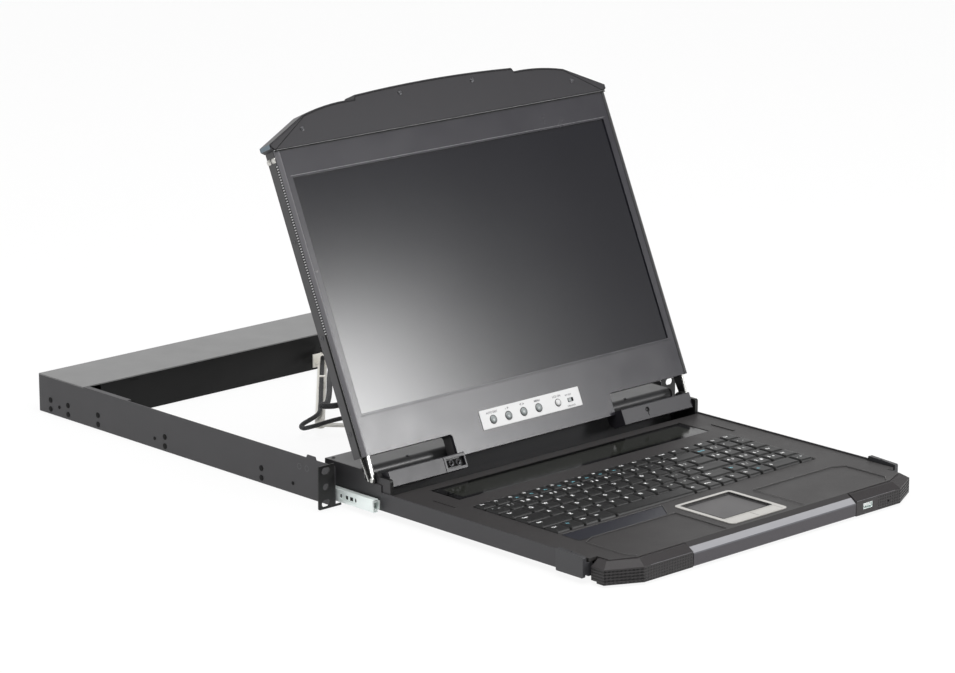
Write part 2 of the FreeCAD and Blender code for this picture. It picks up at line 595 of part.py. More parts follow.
def arc_between(start, middle, end):
    """An arc of a circle, always counter-clockwise, and the positions of its start and end."""
    curve = Part.Circle(start, middle, end)
    centre = curve.Center
    turn = (middle - start).cross(end - middle).z
    first, last = (start, end) if turn > 0 else (end, start)
    low = math.atan2(first.y - centre.y, first.x - centre.x)
    high = math.atan2(last.y - centre.y, last.x - centre.x)
    if high < low:
        high += 2 * math.pi
    circle = Part.Circle(centre, Vector(0, 0, 1), curve.Radius)
    return Part.ArcOfCircle(circle, low, high), (1, 2) if turn > 0 else (2, 1)


def corner_cut(before, corner, after, radius):
    """Where a rounded corner leaves its two sides, and the middle of its arc."""
    back = (before - corner).normalize()
    ahead = (after - corner).normalize()
    half = back.getAngle(ahead) / 2
    run = radius / math.tan(half)
    inward = (back + ahead).normalize()
    middle = corner + inward * (radius / math.sin(half) - radius)
    return corner + back * run, middle, corner + ahead * run


def draw_outline(sketch, outline):
    """A closed outline of corners (x, y) or, rounded, (x, y, radius), with Through points between them."""
    corners = [item for item in outline if not isinstance(item, Through)]
    bends = {}
    for item in outline:
        if isinstance(item, Through):
            bends[seen] = item
        else:
            seen = corners.index(item)
    places = [vector(corner[0], corner[1]) for corner in corners]
    count = len(corners)
    cuts = []
    for i, corner in enumerate(corners):
        if len(corner) == 3:
            radius = as_size(corner[2])
            cuts.append(corner_cut(places[i - 1], places[i], places[(i + 1) % count], radius.value))
        else:
            cuts.append((places[i], None, places[i]))
    sides = []
    for i in range(count):
        start, end = cuts[i][2], cuts[(i + 1) % count][0]
        if i in bends:
            curve, ends = arc_between(start, vector(bends[i].x, bends[i].y), end)
            side = sketch.addGeometry(curve, False)
            mark = sketch.addGeometry(Part.Point(vector(bends[i].x, bends[i].y)), True)
            sketch.addConstraint(Sketcher.Constraint("PointOnObject", mark, 1, side))
            point(sketch, mark, 1, bends[i].x, bends[i].y)
            sides.append((side, ends))
        else:
            sides.append((sketch.addGeometry(Part.LineSegment(start, end), False), (1, 2)))
    for i, corner in enumerate(corners):
        before, (_, leaves) = sides[i - 1]
        after, (enters, _) = sides[i]
        if len(corner) == 2:
            sketch.addConstraint(Sketcher.Constraint("Coincident", before, leaves, after, enters))
            point(sketch, after, enters, corner[0], corner[1])
            continue
        curve, ends = arc_between(*cuts[i])
        arc = sketch.addGeometry(curve, False)
        mark = sketch.addGeometry(Part.Point(places[i]), True)
        sketch.addConstraint(Sketcher.Constraint("Tangent", before, leaves, arc, ends[0]))
        sketch.addConstraint(Sketcher.Constraint("Tangent", arc, ends[1], after, enters))
        sketch.addConstraint(Sketcher.Constraint("PointOnObject", mark, 1, before))
        sketch.addConstraint(Sketcher.Constraint("PointOnObject", mark, 1, after))
        point(sketch, mark, 1, corner[0], corner[1])
        held_radius(sketch, arc, as_size(corner[2]))


def draw_circle(sketch, circle):
    curve = Part.Circle(vector(circle.x, circle.y), Vector(0, 0, 1), circle.radius.value)
    index = sketch.addGeometry(curve, False)
    point(sketch, index, 3, circle.x, circle.y)
    held_radius(sketch, index, circle.radius)


def new_body(name):
    body = doc.addObject("PartDesign::Body", name)
    body.Label = name
    nodes[name] = body
    return body


def new_sketch(body, plane, offset, outlines):
    """A sketch on one of the body's own planes, moved out by offset."""
    count = sum(item.TypeId == "Sketcher::SketchObject" for item in body.Group) + 1
    sketch = body.newObject("Sketcher::SketchObject", f"{body.Name}_sketch_{count}")
    support = [item for item in body.Origin.OriginFeatures if item.Role == f"{plane}_Plane"][0]
    sketch.AttachmentSupport = (support, [""])
    sketch.MapMode = "FlatFace"
    sketch.setExpression("AttachmentOffset.Base.z", as_size(offset).formula)
    for outline in outlines:
        if isinstance(outline, Circle):
            draw_circle(sketch, outline)
        else:
            draw_outline(sketch, outline)
    return sketch


def feature(body, kind, plane, start, stop, outlines):
    """A pad or pocket from start to stop along the axis that plane leaves out."""
    start, stop = as_size(start), as_size(stop)
    low, high = (start, stop) if start.value < stop.value else (stop, start)
    backwards = plane == "XZ"
    sketch = new_sketch(body, plane, -high if backwards else low, outlines)
    made = body.newObject(f"PartDesign::{kind}", f"{sketch.Name}_{kind.lower()}")
    made.Profile = sketch
    made.setExpression("Length", (high - low).formula)
    made.Reversed = kind == "Pocket"
    return made


def add(body, plane, start, stop, *outlines):
    return feature(body, "Pad", plane, start, stop, outlines)


def cut(body, plane, start, stop, *outlines):
    return feature(body, "Pocket", plane, start, stop, outlines)


def loft(body, plane, start, first, stop, second):
    """A body's straight loft between two outlines with as many corners."""
    bottom = new_sketch(body, plane, start, [first])
    top = new_sketch(body, plane, stop, [second])
    made = body.newObject("PartDesign::AdditiveLoft", f"{top.Name}_loft")
    made.Profile = bottom
    made.Sections = [(top, [""])]
    made.Ruled = True
    return made


def chamfer_edges(body, size, chosen):
    """Chamfer the edges of the body whose ends pass a test."""
    doc.recompute()
    base = body.Tip
    edges = enumerate(base.Shape.Edges, start=1)
    names = [f"Edge{number}" for number, edge in edges if chosen([end.Point for end in edge.Vertexes])]
    made = body.newObject("PartDesign::Chamfer", f"{body.Name}_chamfer")
    made.Base = (base, names)
    made.setExpression("Size", size.formula)
    return made


def place(thing):
    """Set a chassis or drawer piece at its height below the ear slots."""
    thing.setExpression("Placement.Base.z", (-s.slot_above_floor).formula)
    return thing


def raise_up(thing):
    """Turn a display piece up round the hinge axis."""
    thing.Placement = FreeCAD.Placement(Vector(0, 0, 0), Rotation(Vector(1, 0, 0), 60))
    thing.setExpression("Placement.Rotation.Angle", (180 - s.lid_angle).formula)
    thing.setExpression("Placement.Base.y", s.hinge_y.formula)
    thing.setExpression("Placement.Base.z", (s.hinge_height - s.slot_above_floor).formula)
    return thing


# ---------------------------------------------------------------- outlines

def box(x0, x1, y0, y1):
    return [(x0, y0), (x1, y0), (x1, y1), (x0, y1)]


def rounded(x0, x1, y0, y1, radius):
    return [(x0, y0, radius), (x1, y0, radius), (x1, y1, radius), (x0, y1, radius)]


def mirrored(half):
    """The same corners and bends on the other side of the middle, in reverse order."""
    other = []
    for item in reversed(half):
        if isinstance(item, Through):
            other.append(Through(-item.x, item.y))
        else:
            other.append((-as_size(item[0]), *item[1:]))
    return other


def slot(x, y, length, width):
    """A slot along the sketch's first axis, centred on x, y."""
    half, run = width / 2, length / 2 - width / 2
    return [
        (x - run, y - half),
        (x + run, y - half),
        Through(x + run + half, y),
        (x + run, y + half),
        (x - run, y + half),
        Through(x - run - half, y),
    ]


def cylinder(name, axis, x, y, z, radius, high):
    """One cylinder from x, y, z along an axis, kept out of the nodes."""
    made = doc.addObject("Part::Cylinder", name)
    turns = {
        "+X": Rotation(Vector(0, 1, 0), 90),
        "-X": Rotation(Vector(0, 1, 0), -90),
        "+Y": Rotation(Vector(1, 0, 0), -90),
        "-Y": Rotation(Vector(1, 0, 0), 90),
        "+Z": Rotation(),
    }
    made.Placement = FreeCAD.Placement(Vector(0, 0, 0), turns[axis])
    made.setExpression("Radius", as_size(radius).formula)
    made.setExpression("Height", as_size(high).formula)
    for letter, where in (("x", x), ("y", y), ("z", z)):
        made.setExpression(f"Placement.Base.{letter}", as_size(where).formula)
    return made


def group(name, members):
    made = doc.addObject("Part::Compound", name)
    made.Links = members
    made.Label = name
    nodes[name] = made
    return made


# ---------------------------------------------------------------- chassis

def rack_ear(name, side):
    """Ear with a slot at the top and bottom, a round hole between them and a thinner foot under the rail."""
    body = new_body(name)
    high = s.ear_low + s.ear_high
    centre = side * s.slot_half
    plate = [
        (side * s.ear_reach, s.ear_low, s.ear_corner),
        (side * s.ear_reach, high, s.ear_corner),
        (side * s.rail_reach, high),
        (side * s.rail_reach, s.ear_low),
    ]
    slots = [
        slot(centre, s.slot_above_floor + end * s.slot_rise / 2, s.slot_long, s.slot_wide)
        for end in (-1, 1)
    ]
    hole = Circle(centre, s.slot_above_floor, s.slot_wide / 2)
    add(body, "XZ", 0, s.ear_thick, plate, *slots, hole)
    foot = box(side * (s.rail_reach - s.ear_foot), side * s.rail_reach, s.ear_low, s.foot_top)
    add(body, "XZ", 0, s.foot_thick, foot)
    return place(body)


def side_rail(name, side):
    """Folded side rail, with a short tab by the ear and an inward flange in front of the housing."""
    body = new_body(name)
    top = s.rail_high
    under_cover = s.rail_high - s.sheet
    tab_end = s.tab_start + s.tab_long
    profile = [
        (s.foot_thick, 0),
        (s.chassis_deep, 0),
        (s.chassis_deep, under_cover),
        (s.cover_front, under_cover),
        (s.cover_front, top),
        (tab_end, top),
        (tab_end - s.tab_slope, top + s.tab_rise),
        (s.tab_start + s.tab_slope, top + s.tab_rise),
        (s.tab_start, top),
        (0, top),
        (0, s.foot_top),
        (s.foot_thick, s.foot_top),
    ]
    inside = s.rail_reach - s.rail_thick
    add(body, "YZ", side * inside, side * s.rail_reach, profile)
    flange = box(s.flange_start, s.cover_front, top - s.sheet, top)
    add(body, "YZ", side * (inside - s.flange_wide), side * inside, flange)
    return place(body)


def rear_panel_openings():
    """Cut-outs of the rear panel, from the pieces that fill them."""
    half = s.port_height
    wide = s.inlet_wide / 2 - s.inlet_rim
    high = s.inlet_high / 2 - s.inlet_brim
    inlet = box(s.inlet_x - wide, s.inlet_x + wide, half - high, half + high)
    video = box(s.video_x - s.video_half, s.video_x + s.video_half, half - s.video_tall,
                half + s.video_tall)
    usb_wide = s.usb_b_half + s.usb_b_fit
    usb_high = s.usb_b_tall + s.usb_b_clear
    usb = box(s.usb_b_x - usb_wide, s.usb_b_x + usb_wide, half - usb_high, half + usb_high)
    return inlet, video, usb


def rear_housing():
    """Floor, set-back front wall with its returns, and rear panel."""
    body = new_body("rear_housing")
    inside = s.rail_reach - s.rail_thick
    wall = s.cover_front + s.wall_setback
    under = s.rail_high - s.sheet
    add(body, "XY", 0, s.sheet, box(-inside, inside, wall, s.chassis_deep))
    add(body, "XZ", wall, wall + s.sheet, box(-s.wall_half, s.wall_half, s.sheet, under))
    for side in (-1, 1):
        ends = (side * (s.wall_half - s.sheet), side * s.wall_half)
        add(body, "YZ", *ends, box(wall + s.sheet, s.chassis_deep, s.sheet, under))
    panel = box(-inside, inside, s.sheet, under)
    add(body, "XZ", s.chassis_deep - s.sheet, s.chassis_deep, panel, *rear_panel_openings())
    return place(body)


def rear_top_cover():
    body = new_body("rear_top_cover")
    outline = box(-s.rail_reach, s.rail_reach, s.cover_front, s.chassis_deep)
    add(body, "XY", s.rail_high - s.sheet, s.rail_high, outline)
    return place(body)


def power_inlet():
    """Inlet for a power plug, with three pins, and the frame of the power switch in one moulding."""
    body = new_body("power_inlet")
    middle = s.port_height
    back = s.chassis_deep
    half = s.inlet_wide / 2
    flange = rounded(s.inlet_x - half, s.inlet_x + half, middle - s.inlet_high / 2,
                     middle + s.inlet_high / 2, s.inlet_corner)
    add(body, "XZ", back, back + s.inlet_flange, flange)
    wide = half - s.inlet_rim - s.window_gap
    high = s.inlet_high / 2 - s.inlet_brim - s.window_gap
    shell = box(s.inlet_x - wide, s.inlet_x + wide, middle - high, middle + high)
    add(body, "XZ", back - s.inlet_deep, back, shell)
    mouth = back + s.inlet_flange
    plug_x = s.inlet_x - s.plug_shift
    plug_left, plug_right = plug_x - s.plug_wide / 2, plug_x + s.plug_wide / 2
    plug_low, plug_top = middle - s.plug_high / 2, middle + s.plug_high / 2
    cavity = [
        (plug_left, plug_low),
        (plug_right, plug_low),
        (plug_right, plug_top - s.plug_corner),
        (plug_right - s.plug_corner, plug_top),
        (plug_left + s.plug_corner, plug_top),
        (plug_left, plug_top - s.plug_corner),
    ]
    cut(body, "XZ", mouth - s.plug_deep, mouth, cavity)
    prongs = [
        box(plug_x + step * s.prong_pitch - s.prong_half, plug_x + step * s.prong_pitch + s.prong_half,
            middle - s.prong_foot, middle - s.prong_head)
        for step in (-1, 0, 1)
    ]
    add(body, "XZ", mouth - s.plug_deep, mouth - s.prong_set, *prongs)
    window_x = s.inlet_x + wide - s.rocker_edge - s.rocker_wide / 2
    gap = s.window_gap
    window = box(window_x - s.rocker_wide / 2 - gap, window_x + s.rocker_wide / 2 + gap,
                 middle - s.rocker_radius - gap, middle + s.rocker_radius + gap)
    cut(body, "XZ", mouth - s.rocker_well, mouth, window)
    pin = Circle(mouth - s.rocker_set, middle, s.rocker_pin)
    add(body, "YZ", window_x - s.rocker_wide / 2 - gap, window_x + s.rocker_wide / 2 + gap, pin)
    return place(body), window_x


def power_rocker(middle_x):
    """Rocker of the power switch, standing at off, with a shallow V across its face."""
    body = new_body("power_rocker")
    y = s.chassis_deep + s.inlet_flange - s.rocker_set
    z = s.port_height
    radius = s.rocker_radius
    profile = [
        (y - 3, z - 5),
        (y + 3.5, z - radius + 0.8),
        (y + 7.4, z - radius + 4.8),
        (y + 5.6, z),
        (y + 4.2, z + radius - 1.1),
        (y + 2.6, z + radius - 0.8),
        (y - 3, z + 5),
    ]
    half = s.rocker_wide / 2
    add(body, "YZ", middle_x - half, middle_x + half, profile, Circle(y, z, s.rocker_pin + s.pin_gap))
    return place(body)


def console_ports():
    """Video port and square USB port on the rear panel, as two solids."""
    video = new_body("video_port")
    back = s.chassis_deep
    z = s.port_height
    flange = rounded(s.video_x - s.video_flange_half, s.video_x + s.video_flange_half,
                     z - s.video_flange_tall, z + s.video_flange_tall, s.video_flange_thick)
    add(video, "XZ", back, back + s.video_flange_thick, flange)
    turn = s.video_shell_round
    shell = [
        (s.video_x - s.video_foot_half, z - s.video_shell_tall, turn),
        (s.video_x + s.video_foot_half, z - s.video_shell_tall, turn),
        (s.video_x + s.video_head_half, z + s.video_shell_tall, turn),
        (s.video_x - s.video_head_half, z + s.video_shell_tall, turn),
    ]
    add(video, "XZ", back + s.video_flange_thick, back + s.video_shell_out, shell)
    inner = box(s.video_x - s.video_body_half, s.video_x + s.video_body_half, z - s.video_body_tall,
                z + s.video_body_tall)
    add(video, "XZ", back - s.video_body_deep, back, inner)
    usb = new_body("square_usb_port")
    left, right = s.usb_b_x - s.usb_b_half, s.usb_b_x + s.usb_b_half
    low, top = z - s.usb_b_tall, z + s.usb_b_tall
    shell = [
        (left, low),
        (right, low),
        (right, top - s.usb_b_corner),
        (right - s.usb_b_corner, top),
        (left + s.usb_b_corner, top),
        (left, top - s.usb_b_corner),
    ]
    add(usb, "XZ", back - s.usb_b_deep, back + s.usb_b_out, shell)
    mouth = box(left + s.usb_b_wall, right - s.usb_b_wall, low + s.usb_b_shell, top - s.usb_b_shell)
    cut(usb, "XZ", back - s.usb_b_well, back + s.usb_b_out, mouth)
    tongue = box(s.usb_b_x - s.usb_b_tongue_half, s.usb_b_x + s.usb_b_tongue_half,
                 z - s.usb_b_tongue_tall, z + s.usb_b_tongue_tall)
    add(usb, "XZ", back - s.usb_b_well, back - s.usb_b_tongue_set, tongue)
    for name in ("video_port", "square_usb_port"):
        del nodes[name]
    return place(group("console_ports", [video, usb]))


def main_board():
    """Circuit board on four standoffs, with the blocks of its larger parts."""
    body = new_body("main_board")
    left = -s.board_wide / 2 - s.board_shift
    right = left + s.board_wide
    front = s.cover_front + s.wall_setback + s.sheet + s.board_gap
    back = front + s.board_long
    low = s.sheet + s.standoff
    top = low + s.board_thick
    add(body, "XY", low, top, box(left, right, front, back))
    inset = 2 * s.standoff_radius
    feet = [
        Circle(x, y, s.standoff_radius)
        for x in (left + inset, right - inset)
        for y in (front + inset, back - inset)
    ]
    add(body, "XY", s.sheet, low, *feet)
    sink, chip = s.sink_wide / 2, s.chip_wide / 2
    middle = (front + back) / 2
    sink_x, chip_x = left + s.sink_place, left + s.chip_place
    add(body, "XY", top, top + s.sink_high, box(sink_x - sink, sink_x + sink, middle - sink, middle + sink))
    add(body, "XY", top, top + s.chip_high, box(chip_x - chip, chip_x + chip, middle - chip, middle + chip))
    return place(body)


def slide_outer_members():
    """Outer C of each slide, open towards the drawer."""
    members = []
    web = s.rail_reach - s.rail_thick
    low, high = s.slide_low, s.slide_low + s.slide_high
    for name, side in (("slide_outer_left", -1), ("slide_outer_right", 1)):
        body = new_body(name)
        lip = web - s.outer_deep
        profile = [
            (side * web, low),
            (side * lip, low),
            (side * lip, low + s.slide_sheet),
            (side * (web - s.slide_sheet), low + s.slide_sheet),
            (side * (web - s.slide_sheet), high - s.slide_sheet),
            (side * lip, high - s.slide_sheet),
            (side * lip, high),
            (side * web, high),
        ]
        add(body, "XZ", s.outer_front, s.outer_back, profile)
        members.append(nodes.pop(name))
    return place(group("slide_outer_members", members))


def rail_rivets():
    """Rivet heads on both rails, in pairs over the slides and the housing."""
    heads = []
    pairs = (
        s.outer_front + s.rivet_first,
        s.outer_back - s.rivet_middle,
        s.outer_back - s.rivet_last,
        s.chassis_deep - s.rivet_housing,
        s.chassis_deep - s.rivet_rear,
    )
    singles = (
        s.outer_front - s.rivet_front,
        s.outer_back - s.rivet_single,
        s.chassis_deep - (s.rivet_housing + s.rivet_rear) / 2,
    )
    places = [(y, s.rivet_low + up * s.rivet_pitch) for y in pairs for up in (0, 1)]
    places += [(y, s.rivet_low + s.rivet_pitch / 2) for y in singles]
    for side, axis in ((-1, "-X"), (1, "+X")):
        for number, (y, z) in enumerate(places):
            name = f"rivet_{'left' if side < 0 else 'right'}_{number}"
            heads.append(cylinder(name, axis, side * s.rail_reach, y, z, s.rivet_radius, s.rivet_head))
    return place(group("rail_rivets", heads))


def arm_wall_bracket():
    """Bracket on the housing wall with the cable arm's rear pin."""
    body = new_body("arm_wall_bracket")
    wall = s.cover_front + s.wall_setback
    plate = box(s.arm_x - s.arm_plate_half, s.arm_x + s.arm_plate_half, s.arm_plate_low, s.arm_plate_top)
    add(body, "XZ", wall - s.sheet, wall, plate)
    tongue = s.link_low - s.sheet
    add(body, "XY", tongue, s.link_low, box(s.arm_x - s.arm_tongue_half, s.arm_x + s.arm_tongue_half,
                                            s.arm_back - s.arm_tongue_end, wall - s.sheet))
    pin_top = s.link_low + s.link_thick + s.arm_pin_over
    add(body, "XY", s.link_low, pin_top, Circle(s.arm_x, s.arm_back, s.arm_pin))
    return place(body)


# ---------------------------------------------------------------- slides that move

def slide_middle_members():
    """Middle C of each slide, with the window of its ball retainer and a lip at its front end."""
    members = []
    web = s.rail_reach - s.rail_thick - s.slide_sheet - s.middle_set
    low = s.slide_low + s.slide_sheet + s.ball_gap
    high = s.slide_low + s.slide_high - s.slide_sheet - s.ball_gap
    for name, side in (("slide_middle_left", -1), ("slide_middle_right", 1)):
        body = new_body(name)
        profile = [
            (side * web, low, s.slide_bend),
            (side * s.middle_reach, low),
            (side * s.middle_reach, low + s.slide_sheet),
            (side * (web - s.slide_sheet), low + s.slide_sheet),
            (side * (web - s.slide_sheet), high - s.slide_sheet),
            (side * s.middle_reach, high - s.slide_sheet),
            (side * s.middle_reach, high),
            (side * web, high, s.slide_bend),
        ]
        add(body, "XZ", s.slide_front, s.slide_front + s.middle_long, profile)
        opening = slot(s.slide_front + s.window_place, (low + high) / 2, s.window_long, s.window_wide)
        cut(body, "YZ", side * (web - s.slide_sheet), side * web, opening)
        lip = box(s.slide_front, s.slide_front + s.lip_long, low + s.lip_edge, high - s.lip_edge)
        add(body, "YZ", side * web, side * (web + s.lip_proud), lip)
        members.append(nodes.pop(name))
    return place(group("slide_middle_members", members))


def slide_inner_members():
    """Inner C of each slide, riveted to the side bracket and open towards the rail."""
    members = []
    low = s.slide_low + 2 * s.slide_sheet + s.ball_gap + s.track_gap
    high = s.slide_low + s.slide_high - 2 * s.slide_sheet - s.ball_gap - s.track_gap
    web = s.drawer_reach
    edge = s.drawer_reach + s.inner_deep
    for name, side in (("slide_inner_left", -1), ("slide_inner_right", 1)):
        body = new_body(name)
        profile = [
            (side * web, low),
            (side * edge, low),
            (side * edge, low + s.slide_sheet),
            (side * (web + s.slide_sheet), low + s.slide_sheet),
            (side * (web + s.slide_sheet), high - s.slide_sheet),
            (side * edge, high - s.slide_sheet),
            (side * edge, high),
            (side * web, high),
        ]
        add(body, "XZ", s.slide_front, s.drawer_back, profile)
        first = s.slide_front + s.slide_rivet_first
        middle = (low + high) / 2
        rivets = [Circle(first + step * s.slide_rivet_pitch, middle, s.slide_rivet) for step in (0, 1)]
        floor = web + s.slide_sheet
        add(body, "YZ", side * floor, side * (floor + s.slide_rivet_high), *rivets)
        members.append(nodes.pop(name))
    return place(group("slide_inner_members", members))


# ---------------------------------------------------------------- drawer

def base_pan():
    """Sheet pan: floor, side walls and the relief for the latches."""
    body = new_body("base_pan")
    inside = s.drawer_reach - s.sheet
    relief = s.drawer_reach - s.latch_travel - s.latch_gap
    notch_back = s.latch_back + s.latch_gap
    notch_front = s.latch_front - s.latch_gap
    half = [
        (inside, s.drawer_back),
        (inside, s.bracket_front),
        (s.drawer_reach, s.bracket_front),
        (s.drawer_reach, notch_back),
        (relief, notch_back),
        (relief, notch_front),
        (s.bar_reach - s.grip_thick, notch_front),
        (s.bar_reach - s.grip_thick, s.pan_front),
    ]
    outline = half + mirrored(half)
    add(body, "XY", s.pan_low, s.pan_top, outline)
    for side in (-1, 1):
        wall = box(s.bracket_front, notch_back, s.pan_top, s.rim_top)
        add(body, "YZ", side * inside, side * s.drawer_reach, wall)
    boss = Circle(s.arm_x, s.arm_front, s.arm_boss)
    boss_top = s.link_low + s.link_step - s.button_gap
    add(body, "XY", s.pan_top, boss_top, boss)
    return place(body)


def rear_cover():
    """Top of the drawer's rear box, bent down in front; the back is open for the cable arm."""
    body = new_body("rear_cover")
    inside = s.drawer_reach - s.sheet
    top, front = s.rail_high, s.cover_edge
    section = [
        (s.drawer_back, top),
        (front, top, s.cover_bend),
        (front, s.pan_top),
        (front + s.sheet, s.pan_top),
        (front + s.sheet, top - s.sheet, s.cover_bend - s.sheet),
        (s.drawer_back, top - s.sheet),
    ]
    add(body, "YZ", -inside, inside, section)
    return place(body)


def side_bracket(name, side):
    """Side plate of the rear box, stepped down in front, with the hinge knuckle inside it."""
    body = new_body(name)
    top, low_top = s.rail_high, s.bracket_low_top
    riser = s.step_back - s.bracket_cut
    plate = [
        (s.drawer_back, s.pan_low),
        (s.drawer_back, top),
        (s.step_back, top),
        (riser, top - s.bracket_cut),
        (riser - s.bracket_lean, low_top, s.bracket_hollow),
        (s.bracket_front, low_top),
        (s.bracket_front, s.pan_low),
    ]
    add(body, "YZ", side * (s.drawer_reach - s.sheet), side * s.drawer_reach, plate)
    floor = s.pan_top
    boss_back = s.hinge_y + s.knuckle_radius
    front_top = s.hinge_height + s.knuckle_top
    knuckle = [
        (boss_back, floor),
        (boss_back, s.hinge_height),
        Through(s.hinge_y, s.hinge_height + s.knuckle_radius),
        (s.hinge_y - s.knuckle_radius, front_top),
        (s.knuckle_front, front_top, s.knuckle_round),
        (s.knuckle_front, floor),
    ]
    bore = Circle(s.hinge_y, s.hinge_height, s.pin_radius + s.pin_gap)
    add(body, "YZ", side * s.knuckle_inner, side * (s.drawer_reach - s.sheet), knuckle)
    cut(body, "YZ", side * s.knuckle_inner, side * s.drawer_reach, bore)
    return place(body)


def key_field():
    """Opening of the deck round the keys."""
    gap = s.key_frame_gap
    return box(s.keys_left - gap, s.keys_right + gap, s.keys_front - gap, s.keys_back + gap)


def palm_recess(side):
    """Plan of a palm recess, with its outer corners cut off."""
    near = side * s.palm_inner
    far = side * (s.latch_inner - s.palm_edge)
    return [
        (near, s.palm_back),
        (far - side * s.palm_corner, s.palm_back),
        (far, s.palm_back - s.palm_nick),
        (far, s.palm_front + s.palm_nick),
        (far - side * s.palm_nick, s.palm_front),
        (near, s.palm_front),
    ]


def trough():
    """Plan of the shallow trough between the keys and the left palm recess."""
    far = s.palm_edge - s.latch_inner
    back, front = s.keys_front - s.trough_set, s.palm_back + s.trough_gap
    return [(-s.trough_end, back), (far, back), (far, front), (-s.trough_end - s.trough_lean, front)]


def keyboard_deck():
    """Moulded top of the drawer, with its window pocket, key opening, trough and touchpad pocket."""
    body = new_body("keyboard_deck")
    low, top = s.deck_top - s.deck_thick, s.deck_top
    edge = s.drawer_reach - s.sheet
    relief = s.head_inner - s.latch_travel - s.latch_gap
    notch_back = s.latch_back + s.latch_gap
    notch_front = s.latch_front - s.latch_gap
    half = [
        (edge, s.deck_back),
        (edge, notch_back),
        (relief, notch_back),
        (relief, notch_front),
        (s.bar_reach - s.rim_side, notch_front),
        (s.bar_reach - s.rim_side, s.chamfer_y + s.rim_turn),
        (s.chamfer_x - s.rim_corner, s.deck_front),
    ]
    add(body, "XY", low, top, half + mirrored(half), key_field())
    groove = s.window_half + s.window_groove
    window = box(-groove, groove, s.window_back - s.window_deep, s.window_back + s.window_groove)
    cut(body, "XY", top - s.window_sink, top, window)
    gap = s.button_gap
    inner = s.pad_half - s.pad_side
    pocket = box(s.pad_x - inner - gap, s.pad_x + inner + gap, s.pad_front + s.pad_bar,
                 s.pad_back - s.pad_rear)
    cut(body, "XY", top - s.pad_sink, top, pocket)
    cut(body, "XY", top - s.trough_deep, top, trough())
    rest_x = s.drawer_reach - s.rest_inset
    rest_back = s.deck_back - s.rest_set
    for side in (-1, 1):
        cut(body, "XY", top - s.palm_deep, top, palm_recess(side))
        rest = rounded(side * rest_x - s.rest_wide / 2, side * rest_x + s.rest_wide / 2,
                       rest_back - s.rest_long, rest_back, s.rest_wide / 4)
        add(body, "XY", top, top + s.rest_rise, rest)
    return place(body)


def status_window():
    body = new_body("status_window")
    fit = s.window_fit
    outline = box(-s.window_half + fit, s.window_half - fit, s.window_back - s.window_deep + fit,
                  s.window_back - fit)
    low = s.deck_top - s.window_sink
    add(body, "XY", low, s.deck_top - s.window_below, outline)
    return place(body)


def keyboard_base():
    """Shallow tray under the keys; its rim meets the deck."""
    body = new_body("keyboard_base")
    rim = s.base_rim
    outer = box(s.keys_left - rim, s.keys_right + rim, s.keys_front - rim, s.keys_back + rim)
    add(body, "XY", s.base_floor - s.base_thick, s.deck_top - s.deck_thick, outer)
    cut(body, "XY", s.base_floor, s.deck_top - s.deck_thick, key_field())
    return place(body)


def key_rows():
    """Widths of the keys of each row, in pitches, from left to right."""
    return {
        "key_row_function": [1.0] * 19,
        "key_row_digits": [1.0] * 13 + [2.0] + [1.0] * 4,
        "key_row_upper": [1.5] + [1.0] * 12 + [1.5] + [1.0] * 4,
        "key_row_middle": [1.75] + [1.0] * 11 + [2.25] + [1.0] * 4,
        "key_row_lower": [2.25] + [1.0] * 10 + [1.75] + [1.0] * 5,
        "key_row_bottom": [1.0, 1.0, 1.0, 1.25, 5.75, 1.0, 1.0, 1.0] + [1.0] * 3 + [2.0, 1.0],
    }


def key_row(name, widths, back, deep):
    """One row of keycaps as tapered blocks."""
    low = s.key_top.value - s.key_tall.value
    gap, taper, tall = s.key_gap.value, s.key_taper.value, s.key_tall.value
    y1 = back - gap / 2
    y0 = back - deep + gap / 2
    caps = []
    left = s.keys_left.value
    for width in widths:
        x0 = left + gap / 2
        left += width * s.key_pitch.value
        x1 = left - gap / 2
        cap = Part.makeWedge(x0, low, y0, y0 + taper, x0 + taper, x1, low + tall, y1, y1 - taper, x1 - taper)
        cap.rotate(Vector(0, 0, 0), Vector(1, 0, 0), 90)
        cap = cap.mirror(Vector(0, 0, 0), Vector(0, 1, 0))
        caps.append(cap)
    made = doc.addObject("Part::Feature", name)
    made.Shape = Part.makeCompound(caps)
    made.Label = name
    nodes[name] = made
    place(made)


def keys():
    back = s.keys_back.value
    for name, widths in key_rows().items():
        deep = s.function_deep.value if name == "key_row_function" else s.row_pitch.value
        key_row(name, widths, back, deep)
        back -= deep


